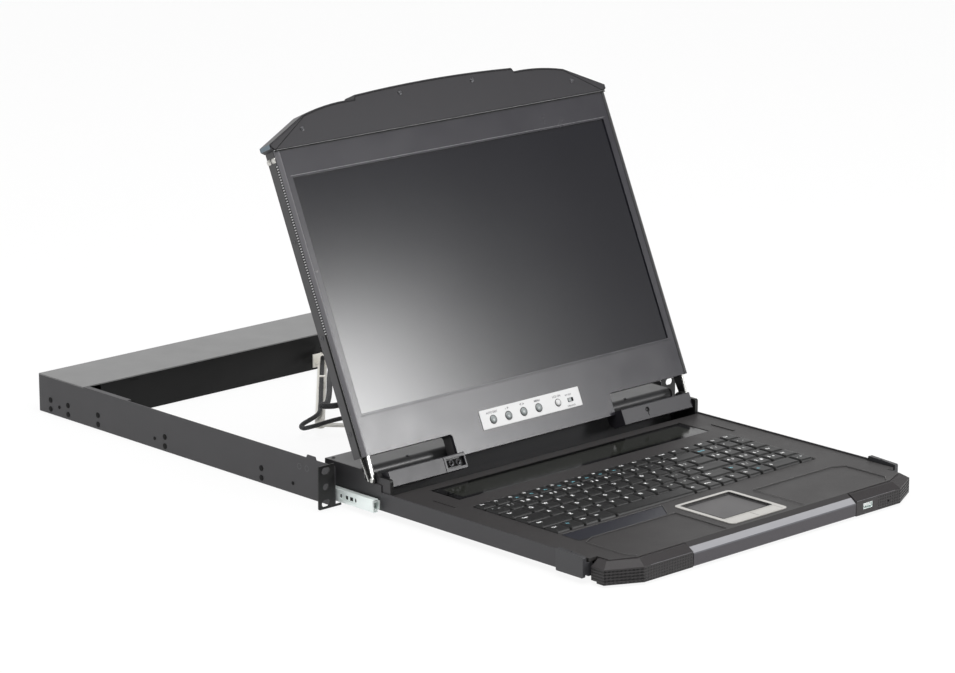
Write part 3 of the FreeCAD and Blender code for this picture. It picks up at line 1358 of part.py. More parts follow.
def touchpad():
    """Silver frame, the pad sunk in it, and two buttons in its front edge."""
    top = s.deck_top
    left, right = s.pad_x - s.pad_half, s.pad_x + s.pad_half
    front = s.pad_front
    inner_left, inner_right = left + s.pad_side, right - s.pad_side
    buttons_back = front + s.pad_bar + s.pad_button_deep
    gap = s.button_gap
    frame = new_body("touchpad_frame")
    pad_hole = box(inner_left, inner_right, buttons_back + s.pad_bar, s.pad_back - s.pad_rear)
    button_hole = box(inner_left, inner_right, front + s.pad_bar, buttons_back)
    outline = rounded(left, right, front, s.pad_back, s.pad_corner)
    add(frame, "XY", top, top + s.pad_proud, outline, pad_hole, button_hole)
    place(frame)
    surface = new_body("touchpad_surface")
    fit = s.window_fit
    pad = box(inner_left + fit, inner_right - fit, buttons_back + s.pad_bar, s.pad_back - s.pad_rear - fit)
    add(surface, "XY", top - s.pad_sink, top - s.pad_thick, pad)
    place(surface)
    for name, side in (("touchpad_left_button", -1), ("touchpad_right_button", 1)):
        body = new_body(name)
        near, far = s.pad_x + side * gap / 2, s.pad_x + side * (s.pad_half - s.pad_side - gap)
        outline = box(near, far, front + s.pad_bar + gap, buttons_back - gap)
        low = top - s.pad_sink + s.press_travel + s.pad_button_lift
        add(body, "XY", low, top + s.pad_proud - s.pad_button_set, outline)
        place(body)


def socket_hole():
    half, high = s.socket_wide / 2, s.socket_high / 2
    return box(s.socket_x - half, s.socket_x + half, s.socket_height - high, s.socket_height + high)


def wrap_line(side, inset):
    """Outer face of the front bar moved in by inset: both ends of its chamfer and the end of the grip."""
    return [
        (side * (s.bar_reach - inset), s.chamfer_y + inset * s.side_turn),
        (side * (s.chamfer_x - inset * s.front_turn), s.front_y + inset),
        (side * s.grip_inner, s.front_y + inset),
    ]


def front_bar():
    """Core of the front bar: full height under the deck, cut back in front for grips and strip."""
    body = new_body("front_bar")
    half = [
        (s.bar_reach - s.grip_thick, s.pan_front),
        *wrap_line(1, s.grip_thick)[:2],
        (s.bar_half, s.front_y + s.grip_thick),
        (s.bar_half, s.front_y),
    ]
    add(body, "XY", s.bar_low, s.strip_low, half + mirrored(half))
    shelf_end = s.chamfer_x - s.rim_corner
    shelf = box(-shelf_end, shelf_end, s.deck_front, s.pan_front)
    add(body, "XY", s.strip_low, s.deck_top - s.deck_thick, shelf)
    cut(body, "XZ", s.front_y, s.front_y + s.socket_deep, socket_hole())
    lower_edge = [
        (s.front_y, s.bar_low),
        (s.front_y + s.bar_chamfer, s.bar_low),
        (s.front_y, s.bar_low + s.bar_chamfer),
    ]
    cut(body, "YZ", -s.bar_half, s.bar_half, lower_edge)
    return place(body)


def front_bevel_strip():
    """Light strip that slopes from the deck down to the front face."""
    body = new_body("front_bevel_strip")
    top = s.deck_top - s.strip_below
    profile = [
        (s.deck_front, s.strip_low),
        (s.deck_front, top),
        (s.deck_front - s.strip_shoulder, top - s.strip_fall),
        (s.front_y, s.strip_low + s.strip_lip),
        (s.front_y, s.strip_low),
    ]
    add(body, "YZ", -s.bar_half, s.bar_half, profile)
    return place(body)


def grip_rim(side, inset):
    """Plan of a grip's rim along the deck, its outer face moved in by inset."""
    return [
        (side * (s.bar_reach - s.rim_side), s.bar_back),
        (side * (s.bar_reach - inset), s.bar_back),
        *wrap_line(side, inset),
        (side * s.grip_inner, s.deck_front),
        (side * (s.chamfer_x - s.rim_corner), s.deck_front),
        (side * (s.bar_reach - s.rim_side), s.chamfer_y + s.rim_turn),
    ]


def grip(name, side):
    """Rubber corner round the front bar, grooved at its chamfer, with a rim that slopes to the deck."""
    body = new_body(name)
    edge = s.bar_reach - s.grip_thick
    wrap = [
        (side * edge, s.bar_back),
        (side * s.bar_reach, s.bar_back),
        *wrap_line(side, 0),
        *reversed(wrap_line(side, s.grip_thick)),
    ]
    add(body, "XY", s.bar_low, s.strip_low, wrap)
    add(body, "XY", s.strip_low, s.grip_edge, grip_rim(side, 0))
    loft(body, "XY", s.grip_edge, grip_rim(side, 0), s.grip_top, grip_rim(side, s.grip_bevel))
    raised = box(side * edge, side * s.bar_reach, s.chamfer_y + s.foot_start, s.bar_back)
    cut(body, "XY", s.bar_low, s.bar_low + s.foot_step, raised)
    band = wrap_line(side, 0)[:2] + wrap_line(side, s.ridge_deep)[1::-1]
    for number in range(4):
        low = s.bar_low + s.ridge_first + number * s.ridge_pitch
        cut(body, "XY", low, low + s.ridge_wide, band)
    if side > 0:
        pinhole = Circle(s.grip_inner + s.pinhole_set, s.pinhole_height, s.pinhole_radius)
        cut(body, "XZ", s.front_y, s.front_y + s.grip_thick, socket_hole(), pinhole)
    return place(body)


def usb_socket():
    """Front USB socket: folded shell, tongue and rear block."""
    body = new_body("usb_socket")
    half, high = s.socket_wide / 2 - s.socket_fit, s.socket_high / 2 - s.socket_fit
    x, z = s.socket_x, s.socket_height
    mouth = s.front_y + s.socket_sink
    back = s.front_y + s.socket_deep
    add(body, "XZ", mouth, back, box(x - half, x + half, z - high, z + high))
    wall = s.socket_sheet
    hollow = box(x - half + wall, x + half - wall, z - high + wall, z + high - wall)
    cut(body, "XZ", mouth, back - s.socket_back, hollow)
    side = half - s.tongue_side
    tongue = box(x - side, x + side, z + s.tongue_low, z + high - wall - s.tongue_gap)
    add(body, "XZ", mouth + s.tongue_side, back - s.socket_back, tongue)
    return place(body)


def latch(name, side):
    """Release latch: a grip outside the wall, a foot under the deck and a hooked head above it."""
    body = new_body(name)
    back, front, top = s.latch_back, s.latch_front, s.latch_top
    outside = s.drawer_reach + s.button_gap
    under_deck = s.deck_top - s.deck_thick - s.button_gap
    foot = box(front, back, s.pan_top + s.button_gap, under_deck)
    add(body, "YZ", side * s.latch_inner, side * outside, foot)
    neck = box(front, back, under_deck, s.rim_top)
    add(body, "YZ", side * s.head_inner, side * outside, neck)
    hook = s.latch_hook
    head = [
        (back, s.rim_top),
        (back, top, hook),
        (back - s.latch_flat, top - hook / 2),
        (back - s.latch_flat - hook, top),
        (back - s.latch_flat - 2 * hook, top - hook / 2),
        (front, top - s.latch_slope),
        (front, s.rim_top),
    ]
    add(body, "YZ", side * s.head_inner, side * outside, head)
    plate = [
        (back, s.latch_low, hook),
        (back, top, hook),
        (front, top - s.latch_slope, hook),
        (front, s.latch_low, hook),
    ]
    add(body, "YZ", side * outside, side * s.latch_reach, plate)
    return place(body)


def drawer_board():
    """Keyboard controller board, hung from the rear cover on posts."""
    body = new_body("drawer_board")
    top = s.rail_high - s.sheet
    high = top - s.post_high
    half = s.small_board_wide / 2
    front = s.cover_edge + s.sheet + s.small_board_gap
    back = s.drawer_back - s.small_board_gap
    add(body, "XY", high - s.board_thick, high, box(-half, half, front, back))
    inset = 2 * s.post_radius
    posts = [
        Circle(x, y, s.post_radius)
        for x in (inset - half, half - inset)
        for y in (front + inset, back - inset)
    ]
    add(body, "XY", high, top, *posts)
    return place(body)


# ---------------------------------------------------------------- display

def lcd_outline():
    """Plan of bezel and back shell: a rectangle with the narrower section between the hinges below it."""
    half = [
        (s.middle_half, s.middle_foot, s.foot_corner),
        (s.middle_half, s.lcd_foot, s.notch_corner),
        (s.lcd_half, s.lcd_foot),
        (s.lcd_half, s.cap_base),
    ]
    return half + mirrored(half)


def is_at(value, place):
    """Whether a measured coordinate is at a size."""
    return abs(value - place.value) < 0.001


def screen_box(border):
    low = s.lcd_foot + s.screen_low
    half = s.screen_half + border
    return box(-half, half, low - border, low + s.screen_high + border)


def menu_places():
    return [s.menu_first + number * s.menu_pitch for number in range(4)]


def menu_openings(clear):
    """Holes for the four oval buttons, the power button and the slide switch."""
    row = s.menu_row
    holes = [Circle(x, row, s.menu_radius + clear) for x in menu_places()]
    holes.append(Circle(s.power_x, row, s.power_radius + clear))
    run = (s.switch_wide + s.switch_travel) / 2 + clear
    high = s.switch_high / 2 + clear
    holes.append(box(s.switch_x - run, s.switch_x + run, row - high, row + high))
    return holes


def lcd_bezel():
    """Front frame with the screen window, button holes and bevelled side edges."""
    body = new_body("lcd_bezel")
    low, face = s.lcd_face - s.bezel_thick, s.lcd_face
    add(body, "XY", low, face, lcd_outline(), screen_box(0), *menu_openings(s.button_gap))
    for side in (-1, 1):
        bevel = [
            (side * s.lcd_half, face),
            (side * (s.lcd_half - s.bezel_bevel), face),
            (side * s.lcd_half, face - s.bezel_drop),
        ]
        cut(body, "XZ", s.lcd_foot, s.cap_base, bevel)
    return raise_up(body)


def is_rear_edge(ends):
    """Whether an edge lies on the display's rear face, other than the one at the cap."""
    behind = all(is_at(end.z, s.lcd_face - s.lcd_thick) for end in ends)
    return behind and not all(is_at(end.y, s.cap_base) for end in ends)


def lcd_back_shell():
    """Pan behind the display panel, chamfered round its back."""
    body = new_body("lcd_back_shell")
    back, front = s.lcd_face - s.lcd_thick, s.lcd_face - s.bezel_thick
    add(body, "XY", back, front, lcd_outline())
    wall = s.shell_thick
    half = [
        (s.middle_half - wall, s.middle_foot + wall),
        (s.middle_half - wall, s.lcd_foot + wall, s.notch_corner + wall),
        (s.lcd_half - wall, s.lcd_foot + wall),
        (s.lcd_half - wall, s.cap_base - wall),
    ]
    cut(body, "XY", back + wall, front, half + mirrored(half))
    chamfer_edges(body, s.shell_bevel, is_rear_edge)
    return raise_up(body)


def display_panel():
    """Display panel behind the bezel, with the screen raised into the window."""
    body = new_body("display_panel")
    behind = s.lcd_face - s.bezel_thick
    add(body, "XY", behind - s.panel_thick, behind, screen_box(s.panel_border))
    add(body, "XY", behind, s.lcd_face - s.screen_sink, screen_box(-s.screen_fit))
    return raise_up(body)


def cap_outline(inset, foot):
    """Arched outline of the cap, moved in by inset, from foot above its joint with the display."""
    base = s.cap_base
    arc_rise = s.cap_bulge * (s.cap_rise - s.cap_shoulder)
    edge_y = base + s.cap_rise - s.cap_edge - inset
    half = [
        (s.lcd_half - inset, base + foot),
        (s.cap_reach - inset, base + foot + s.cap_foot),
        (s.cap_reach - inset, base + s.cap_side - inset / 2),
        (s.cap_shoulder_x - inset / 2, base + s.cap_shoulder - inset),
        Through((s.cap_shoulder_x + s.rise_half) / 2, base + s.cap_shoulder + arc_rise - inset),
        (s.rise_half, edge_y),
        (s.rise_half - s.cap_step, base + s.rise_high - s.cap_drop - inset),
    ]
    return [*half, Through(0, base + s.rise_high - inset), *mirrored(half)]


def lcd_cap():
    """Arched cap on the display's upper edge: a rim, and a front plate inside it with a joint under it."""
    body = new_body("lcd_cap")
    back, face = s.lcd_face - s.lcd_thick, s.lcd_face
    add(body, "XY", back, face - s.cap_plate, cap_outline(0, 0))
    add(body, "XY", face - s.cap_plate, face, cap_outline(s.cap_rim, s.cap_rim))
    return raise_up(body)


def button_panel():
    """Light panel under the screen, with the holes of its buttons and switch."""
    body = new_body("button_panel")
    outline = rounded(s.menu_x - s.menu_half, s.menu_x + s.menu_half, s.menu_low,
                      s.menu_low + s.menu_high, s.menu_corner)
    add(body, "XY", s.lcd_face, s.lcd_face + s.menu_thick, outline, *menu_openings(s.button_gap))
    return raise_up(body)


def menu_buttons():
    """Four menu buttons, the round power button and the knob of the slide switch."""
    foot = s.lcd_face - s.menu_foot
    top = s.lcd_face + s.menu_thick + s.menu_proud
    for number, x in enumerate(menu_places(), start=1):
        body = new_body(f"menu_button_{number}")
        add(body, "XY", foot, top, Circle(x, s.menu_row, s.menu_radius))
        raise_up(body)
    power = new_body("power_button")
    add(power, "XY", foot, top, Circle(s.power_x, s.menu_row, s.power_radius))
    raise_up(power)
    switch = new_body("slide_switch")
    left = s.switch_x - (s.switch_wide + s.switch_travel) / 2
    high = s.switch_high / 2
    knob = box(left, left + s.switch_wide, s.menu_row - high, s.menu_row + high)
    add(switch, "XY", foot, top - s.switch_set, knob)
    raise_up(switch)


def hinge_cover(name, side):
    """Long moulded cover round one hinge: a lamp pocket in the left one, a round recess in the right."""
    body = new_body(name)
    face = s.cover_face
    profile = [
        (-s.cover_foot, face, s.cover_round),
        (s.cover_head, face, s.cover_round),
        (s.cover_head, -s.cover_rear),
        (s.cover_slope - s.cover_foot, -s.cover_rear),
        (-s.cover_foot, 0),
    ]
    add(body, "YZ", side * s.cover_inner, side * s.cover_outer, profile)
    if side > 0:
        recess = Circle(s.lock_x, s.lock_rise, s.lock_radius)
        cut(body, "XY", face - s.lock_deep, face, recess)
        return raise_up(body)
    near = -s.cover_inner - s.lamp_edge
    far = near - s.lamp_wide
    middle = (s.cover_head - s.cover_foot) / 2
    pocket = box(far, near, middle - s.lamp_high / 2, middle + s.lamp_high / 2)
    cut(body, "XY", face - s.lamp_deep, face, pocket)
    groove = box(far - s.lamp_groove - s.groove_wide, far - s.lamp_groove, -s.cover_foot, s.cover_head)
    cut(body, "XY", face - s.groove_wide, face, groove)
    return raise_up(body)


def hinge_arm(name, side):
    """Plated channel, open outwards, that narrows from the display's lower corner to the hinge pin."""
    body = new_body(name)
    foot, wall, end = s.lcd_foot, s.arm_wall, s.arm_end
    web = [
        (foot, -s.arm_half),
        (0, -end),
        Through(-end, 0),
        (0, end),
        (foot, s.arm_half),
    ]
    floor = s.arm_inner + wall
    add(body, "YZ", side * s.arm_inner, side * floor, web)
    for edge in (-1, 1):
        flange = [
            (0, edge * (end - wall)),
            (0, edge * end),
            (foot, edge * s.arm_half),
            (foot, edge * (s.arm_half - wall)),
        ]
        add(body, "YZ", side * floor, side * s.arm_outer, flange)
    add(body, "YZ", side * s.cover_outer, side * s.arm_inner, Circle(0, 0, s.pin_radius))
    add(body, "YZ", side * floor, side * (floor + s.pin_head_high), Circle(0, 0, s.pin_head))
    return raise_up(body)


def lcd_screws():
    """Screw heads on the cap and along both sides of the display."""
    heads = []
    base = s.cap_base
    outer, inner = s.cap_screw_outer, s.cap_screw_inner
    places = [(-outer, s.cap_screw_low), (-inner, s.cap_screw_high)]
    places += [(-x, up) for x, up in reversed(places)]
    for number, (x, up) in enumerate(places):
        name = f"cap_screw_{number}"
        heads.append(cylinder(name, "+Z", x, base + up, s.lcd_face, s.screw_radius, s.screw_head))
    middle = s.lcd_face - s.bezel_thick - s.shell_screw_set
    for side, axis in ((-1, "-X"), (1, "+X")):
        for number in range(3):
            name = f"shell_screw_{'left' if side < 0 else 'right'}_{number}"
            y = s.lcd_foot + s.shell_screw_first + number * s.shell_screw_pitch
            heads.append(cylinder(name, axis, side * s.lcd_half, y, middle, s.screw_radius, s.screw_head))
    return raise_up(group("lcd_screws", heads))


# ---------------------------------------------------------------- cable arm

def arm_angle():
    """Angle between a link and the drawer's travel, as the arm stands."""
    share = (s.arm_back - s.arm_front) / 2 / s.link_long
    return Size(math.degrees(math.acos(share.value)), f"acos{share.formula}")


def turn(thing, angle, x, y):
    """Place an arm piece at its pivot, turned about the vertical."""
    thing.Placement = FreeCAD.Placement(Vector(0, 0, 0), Rotation(Vector(0, 0, 1), 30))
    thing.setExpression("Placement.Rotation.Angle", angle)
    thing.setExpression("Placement.Base.x", x.formula)
    thing.setExpression("Placement.Base.y", y.formula)
    return place(thing)


def link_outline():
    half, end = s.link_half, s.link_long
    return [
        (0, -half),
        (end, -half),
        Through(end + half, 0),
        (end, half),
        (0, half),
        Through(-half, 0),
    ]


def cable_holders(body, top, level):
    """Posts under the lower cable and hooks that reach round it to the upper one."""
    runs = [(x, x + s.holder_long) for x in (s.holder_first, s.holder_second)]
    low = level - s.cable_radius
    lift = low + s.cable_lift
    near, far = s.holder_half, s.holder_half + s.holder_wall
    add(body, "XY", top, low, *[box(x0, x1, -near, near - s.holder_split) for x0, x1 in runs])
    add(body, "XY", top, lift, *[box(x0, x1, near - s.holder_split, far) for x0, x1 in runs])
    shelves = [box(x0, x1, -s.holder_shelf_half, far) for x0, x1 in runs]
    add(body, "XY", lift - s.holder_shelf, lift, *shelves)


def arm_rear_link():
    """Link from the housing to the elbow, with the elbow's pin and two cable holders."""
    body = new_body("arm_rear_link")
    low, top = s.link_low, s.link_low + s.link_thick
    hole = Circle(0, 0, s.arm_pin + s.pin_gap)
    add(body, "XY", low, top, link_outline(), hole)
    pin_top = low + s.link_step + s.link_thick + s.pin_proud
    add(body, "XY", top, pin_top, Circle(s.link_long, 0, s.arm_pin))
    cable_holders(body, top, s.cable_low)
    return turn(body, f"270 deg - {arm_angle().formula}", s.arm_x, s.arm_back)


def arm_front_link():
    """Link from the drawer to the elbow, over the rear link."""
    body = new_body("arm_front_link")
    low = s.link_low + s.link_step
    top = low + s.link_thick
    eye = Circle(s.link_long, 0, s.arm_pin + s.pin_gap)
    add(body, "XY", low, top, link_outline(), eye)
    cable_holders(body, top, s.cable_low + s.cable_step)
    return turn(body, f"90 deg + {arm_angle().formula}", s.arm_x, s.arm_front)


def cable_path(sway, level):
    """Straight run along the link, then out past the elbow, joined by one tangent arc."""
    length = s.link_long.value
    reach = s.loop_reach.value
    angle = math.radians(arm_angle().value)
    corner = Vector(length - s.cable_turn.value, 0, level)
    tip = Vector(length + reach * math.sin(angle), sway * reach * math.cos(angle), level)
    start = Vector(0, 0, level)
    ahead = (tip - corner).normalize()
    back = Vector(-1, 0, 0)
    half = back.getAngle(ahead) / 2
    radius = 0.45 * (tip - corner).Length * math.tan(half)
    first, middle, last = corner_cut(start, corner, tip, radius)
    edges = [
        Part.LineSegment(start, first).toShape(),
        Part.Arc(first, middle, last).toShape(),
        Part.LineSegment(last, tip).toShape(),
    ]
    return Part.Wire(edges)


def cable_spans(name, sway, level, angle, x, y):
    """Two sleeved cables along one link, one above the other."""
    tubes = []
    for lift in (0, s.cable_lift.value):
        path = cable_path(sway, level.value + lift)
        ring = Part.Wire(Part.makeCircle(s.cable_radius.value, path.Vertexes[0].Point, Vector(1, 0, 0)))
        tubes.append(path.makePipeShell([ring], True, False))
    made = doc.addObject("Part::Feature", name)
    made.Shape = Part.makeCompound(tubes)
    made.Label = name
    nodes[name] = made
    turn(made, angle, x, y)


def arm_cables():
    level = s.cable_low
    rear = f"270 deg - {arm_angle().formula}"
    front = f"90 deg + {arm_angle().formula}"
    cable_spans("arm_cables_rear", -1, level, rear, s.arm_x, s.arm_back)
    cable_spans("arm_cables_front", 1, level + s.cable_step, front, s.arm_x, s.arm_front)


# ---------------------------------------------------------------- build, check and write

def build_all():
    rack_ear("left_rack_ear", -1)
    rack_ear("right_rack_ear", 1)
    side_rail("left_side_rail", -1)
    side_rail("right_side_rail", 1)
    rear_housing()
    rear_top_cover()
    _, rocker_x = power_inlet()
    power_rocker(rocker_x)
    console_ports()
    main_board()
    slide_outer_members()
    rail_rivets()
    arm_wall_bracket()
    slide_middle_members()
    slide_inner_members()
    base_pan()
    rear_cover()
    side_bracket("left_side_bracket", -1)
    side_bracket("right_side_bracket", 1)
    keyboard_deck()
    status_window()
    keyboard_base()
    keys()
    touchpad()
    front_bar()
    front_bevel_strip()
    grip("left_grip", -1)
    grip("right_grip", 1)
    usb_socket()
    latch("left_latch", -1)
    latch("right_latch", 1)
    drawer_board()
    lcd_bezel()
    lcd_back_shell()
    display_panel()
    lcd_cap()
    button_panel()
    menu_buttons()
    hinge_cover("left_hinge_cover", -1)
    hinge_cover("right_hinge_cover", 1)
    hinge_arm("left_hinge_arm", -1)
    hinge_arm("right_hinge_arm", 1)
    lcd_screws()
    arm_rear_link()
    arm_front_link()
    arm_cables()


def check_document():
    """Stop on a failed object, a pocket that cuts nothing, or a shape that is empty or not valid."""
    for item in doc.Objects:
        if "Invalid" in item.State or "Error" in item.State:
            raise RuntimeError(f"{item.Name} failed")
        if item.TypeId == "PartDesign::Pocket":
            if item.BaseFeature.Shape.Volume - item.Shape.Volume < 0.01:
                raise RuntimeError(f"{item.Name} cuts nothing")
    for name, node in nodes.items():
        if node.Shape.isNull() or not node.Shape.isValid() or not node.Shape.Solids:
            raise RuntimeError(f"{name} has no valid solid")


build_all()
doc.recompute()
check_document()
for name, node in nodes.items():
    node.Shape.exportStep(f"parts/{name}.step")
print(len(nodes), "nodes written")
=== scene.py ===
import json
import math

import bpy
import numpy as np
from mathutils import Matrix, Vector


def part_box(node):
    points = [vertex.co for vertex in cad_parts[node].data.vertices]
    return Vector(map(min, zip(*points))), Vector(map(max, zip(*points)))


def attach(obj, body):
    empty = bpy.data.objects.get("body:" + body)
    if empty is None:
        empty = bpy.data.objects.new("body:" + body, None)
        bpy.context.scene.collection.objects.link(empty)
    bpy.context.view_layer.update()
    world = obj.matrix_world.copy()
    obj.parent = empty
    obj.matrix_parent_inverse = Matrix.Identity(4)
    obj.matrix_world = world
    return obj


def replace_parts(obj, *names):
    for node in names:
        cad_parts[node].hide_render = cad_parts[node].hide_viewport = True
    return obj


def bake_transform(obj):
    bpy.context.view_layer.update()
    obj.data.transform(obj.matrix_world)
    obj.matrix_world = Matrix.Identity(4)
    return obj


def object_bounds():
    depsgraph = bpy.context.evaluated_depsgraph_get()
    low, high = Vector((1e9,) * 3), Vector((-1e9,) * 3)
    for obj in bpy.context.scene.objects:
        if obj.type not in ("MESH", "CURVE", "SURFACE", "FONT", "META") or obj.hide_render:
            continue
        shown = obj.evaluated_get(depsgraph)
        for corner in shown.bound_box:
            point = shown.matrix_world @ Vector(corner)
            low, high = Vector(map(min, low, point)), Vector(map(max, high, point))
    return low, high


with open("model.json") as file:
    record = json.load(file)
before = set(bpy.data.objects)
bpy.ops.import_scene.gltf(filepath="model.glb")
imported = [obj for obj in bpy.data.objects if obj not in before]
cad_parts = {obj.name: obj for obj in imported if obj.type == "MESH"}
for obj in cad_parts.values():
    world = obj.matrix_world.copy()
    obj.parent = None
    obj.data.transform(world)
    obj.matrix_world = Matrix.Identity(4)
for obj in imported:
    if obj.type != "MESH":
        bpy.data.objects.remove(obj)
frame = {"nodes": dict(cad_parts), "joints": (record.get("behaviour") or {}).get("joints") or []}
cad_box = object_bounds()
cad_nodes = frame["nodes"]
scene = bpy.context.scene
MM = 0.001


# ---------------------------------------------------------------- places taken from the model
#
# Metres from the middle of the ears' slots: X to the operator's right, Y into the rack and Z up.

def lows(node):
    return np.array(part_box(node)[0])


def highs(node):
    return np.array(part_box(node)[1])


# Levels of the drawer, and the display's own axes at the angle from closed at which it is modelled.
BASE = -21.8 * MM
GRIP_TOP = BASE + 15.8 * MM
DECK_TOP = highs("keyboard_deck")[2]
COVER_TOP = highs("rear_cover")[2]
RAIL_FACE = highs("right_side_rail")[0]
HINGE = np.array([j["pos_m"] for j in frame["joints"] if j["name"] == "display_hinge"][0])
OPEN_ANGLE = 114.2
LEAN = math.radians(180 - OPEN_ANGLE)
UP_SCREEN = np.array([0, math.cos(LEAN), math.sin(LEAN)])
OFF_SCREEN = np.array([0, -math.sin(LEAN), math.cos(LEAN)])


def on_lid(x, up, out):
    """Points given across, up and out of the display, in metres, brought into the row frame."""
    x, up, out = np.broadcast_arrays(x, up, out)
    across = np.array([1.0, 0, 0])
    return HINGE + x[..., None] * across + up[..., None] * UP_SCREEN + out[..., None] * OFF_SCREEN


# ---------------------------------------------------------------- shader maths

class Wire:
    """One output of a material's nodes. Calculating with it adds Math nodes."""

    def __init__(self, finish, link):
        self.finish = finish
        self.link = link

    def maths(self, operation, *values):
        return self.finish.node("ShaderNodeMath", {"operation": operation}, dict(enumerate(values)))

    def __add__(self, other):
        return self.maths("ADD", self, other)

    __radd__ = __add__

    def __sub__(self, other):
        return self.maths("SUBTRACT", self, other)

    def __rsub__(self, other):
        return self.maths("SUBTRACT", other, self)

    def __mul__(self, other):
        return self.maths("MULTIPLY", self, other)

    __rmul__ = __mul__

    def __truediv__(self, other):
        return self.maths("DIVIDE", self, other)

    def over(self, limit):
        return self.maths("GREATER_THAN", self, limit)

    def sine(self):
        return self.maths("SINE", self)

    def size(self):
        return self.maths("ABSOLUTE", self)

    def fraction(self):
        return self.maths("FRACT", self)

    def root(self):
        return self.maths("SQRT", self)

    def most(self, other):
        return self.maths("MAXIMUM", self, other)

    def ramp(self, low, high):
        """0 below low, 1 above high and a smooth step between them."""
        return self.finish.node(
            "ShaderNodeMapRange",
            {"interpolation_type": "SMOOTHSTEP"},
            {"Value": self, "From Min": low, "From Max": high},
        )


class Finish:
    """A material and its Principled shader."""

    def __init__(self, name, colour=(0.05, 0.05, 0.05), rough=0.5, metal=0.0, **sockets):
        self.material = bpy.data.materials.new(name)
        self.material.use_nodes = True
        self.tree = self.material.node_tree
        self.shader = self.tree.nodes["Principled BSDF"]
        self.set("Base Color", (*colour, 1))
        self.set("Roughness", rough)
        self.set("Metallic", metal)
        for socket, value in sockets.items():
            self.set(socket.replace("_", " "), value)
        self.colour = colour
        self.place = self.node("ShaderNodeTexCoord", out="Object")

    def set(self, socket, value):
        if isinstance(value, Wire):
            self.tree.links.new(value.link, self.shader.inputs[socket])
        else:
            self.shader.inputs[socket].default_value = value

    def node(self, kind, settings=None, inputs=None, out=0):
        """Add a node: its settings first, then the values or links of its sockets."""
        made = self.tree.nodes.new(kind)
        for name, value in (settings or {}).items():
            if name == "stops":
                ramp = made.color_ramp
                while len(ramp.elements) < len(value):
                    ramp.elements.new(0.5)
                for element, (position, colour) in zip(ramp.elements, value):
                    element.position = position
                    element.color = (*colour, 1)
            else:
                setattr(made, name, value)
        for socket, value in (inputs or {}).items():
            if isinstance(value, Wire):
                self.tree.links.new(value.link, made.inputs[socket])
            else:
                made.inputs[socket].default_value = value
        return Wire(self, made.outputs[out])

    def noise(self, scale, detail=2.0, rough=0.5, place=None):
        return self.node(
            "ShaderNodeTexNoise",
            None,
            {"Vector": place or self.place, "Scale": scale, "Detail": detail, "Roughness": rough},
        )

    def stretched(self, x, y, z):
        """Object coordinates scaled along each axis."""
        return self.node("ShaderNodeMapping", None, {"Vector": self.place, "Scale": (x, y, z)})

    def axes(self, place=None):
        """The three parts of a place as Wires; of Object coordinates if none is given."""
        split = self.node("ShaderNodeSeparateXYZ", None, {"Vector": place or self.place})
        return [Wire(self, split.link.node.outputs[i]) for i in range(3)]

    def mix(self, share, first, second):
        """Blend two colours, each a tuple or a Wire."""
        first, second = [(*c, 1) if isinstance(c, tuple) and len(c) == 3 else c for c in (first, second)]
        return self.node(
            "ShaderNodeMix",
            {"data_type": "RGBA"},
            {"Factor": share, 6: first, 7: second},
            out=2,
        )

    def bump(self, height, strength, distance=0.0005, edge=0.0):
        """Relief from a height of 0 to 1, over edges rounded off in the shading to a radius."""
        inputs = {"Height": height, "Strength": strength, "Distance": distance}
        if edge:
            inputs["Normal"] = self.node("ShaderNodeBevel", {"samples": 4}, {"Radius": edge})
        self.set("Normal", self.node("ShaderNodeBump", None, inputs, out="Normal"))

    def vary(self, amount, scale=18.0):
        """Soft patches a little lighter and darker than the colour."""
        patch = self.noise(scale, 3.0)
        dark = tuple(c * (1 - amount) for c in self.colour)
        light = tuple(min(1.0, c * (1 + amount)) for c in self.colour)
        return self.mix(patch, dark, light)


def powder_coat(name, colour, rough=0.42, grain=0.12, shine=0.5):
    """Satin coat on steel: orange peel of about a millimetre over a finer grain."""
    f = Finish(name, colour, rough, Specular_IOR_Level=shine)
    peel = f.noise(900.0, 2.0)
    fine = f.noise(3600.0, 1.0)
    f.bump(peel * 0.7 + fine * 0.3, grain, 0.0002, edge=0.5 * MM)
    f.set("Base Color", f.vary(0.08))
    f.set("Roughness", f.noise(40.0, 3.0) * 0.1 + (rough - 0.05))
    return f.material


def moulding(name, colour, rough=0.45, grain=0.25, spot=2600.0, shine=0.5):
    """Spark-eroded plastic: fine pits with faint rub marks."""
    f = Finish(name, colour, rough, Specular_IOR_Level=shine)
    pits = f.node("ShaderNodeTexVoronoi", None, {"Vector": f.place, "Scale": spot}, out="Distance")
    f.bump(pits * 0.6 + f.noise(spot * 0.6, 2.0) * 0.4, grain, 0.0002, edge=0.45 * MM)
    f.set("Base Color", f.vary(0.06, 12.0))
    rub = f.noise(26.0, 4.0, 0.6)
    f.set("Roughness", rub * 0.14 + (rough - 0.07))
    return f.material


def rolled_metal(name, colour, rough, along, streak=0.5, metal=1.0):
    """Plated or rolled metal with fine lines along one axis."""
    f = Finish(name, colour, rough, metal)
    scale = [2400.0, 2400.0, 2400.0]
    scale[along] = 40.0
    lines = f.noise(1.0, 3.0, place=f.stretched(*scale))
    f.set("Roughness", lines * 0.18 + (rough - 0.09))
    f.bump(lines, streak * 0.2, 0.0001)
    dark, light = [tuple(min(1.0, c * share) for c in colour) for share in (0.9, 1.06)]
    f.set("Base Color", f.mix(f.noise(60.0, 3.0), dark, light))
    return f.material


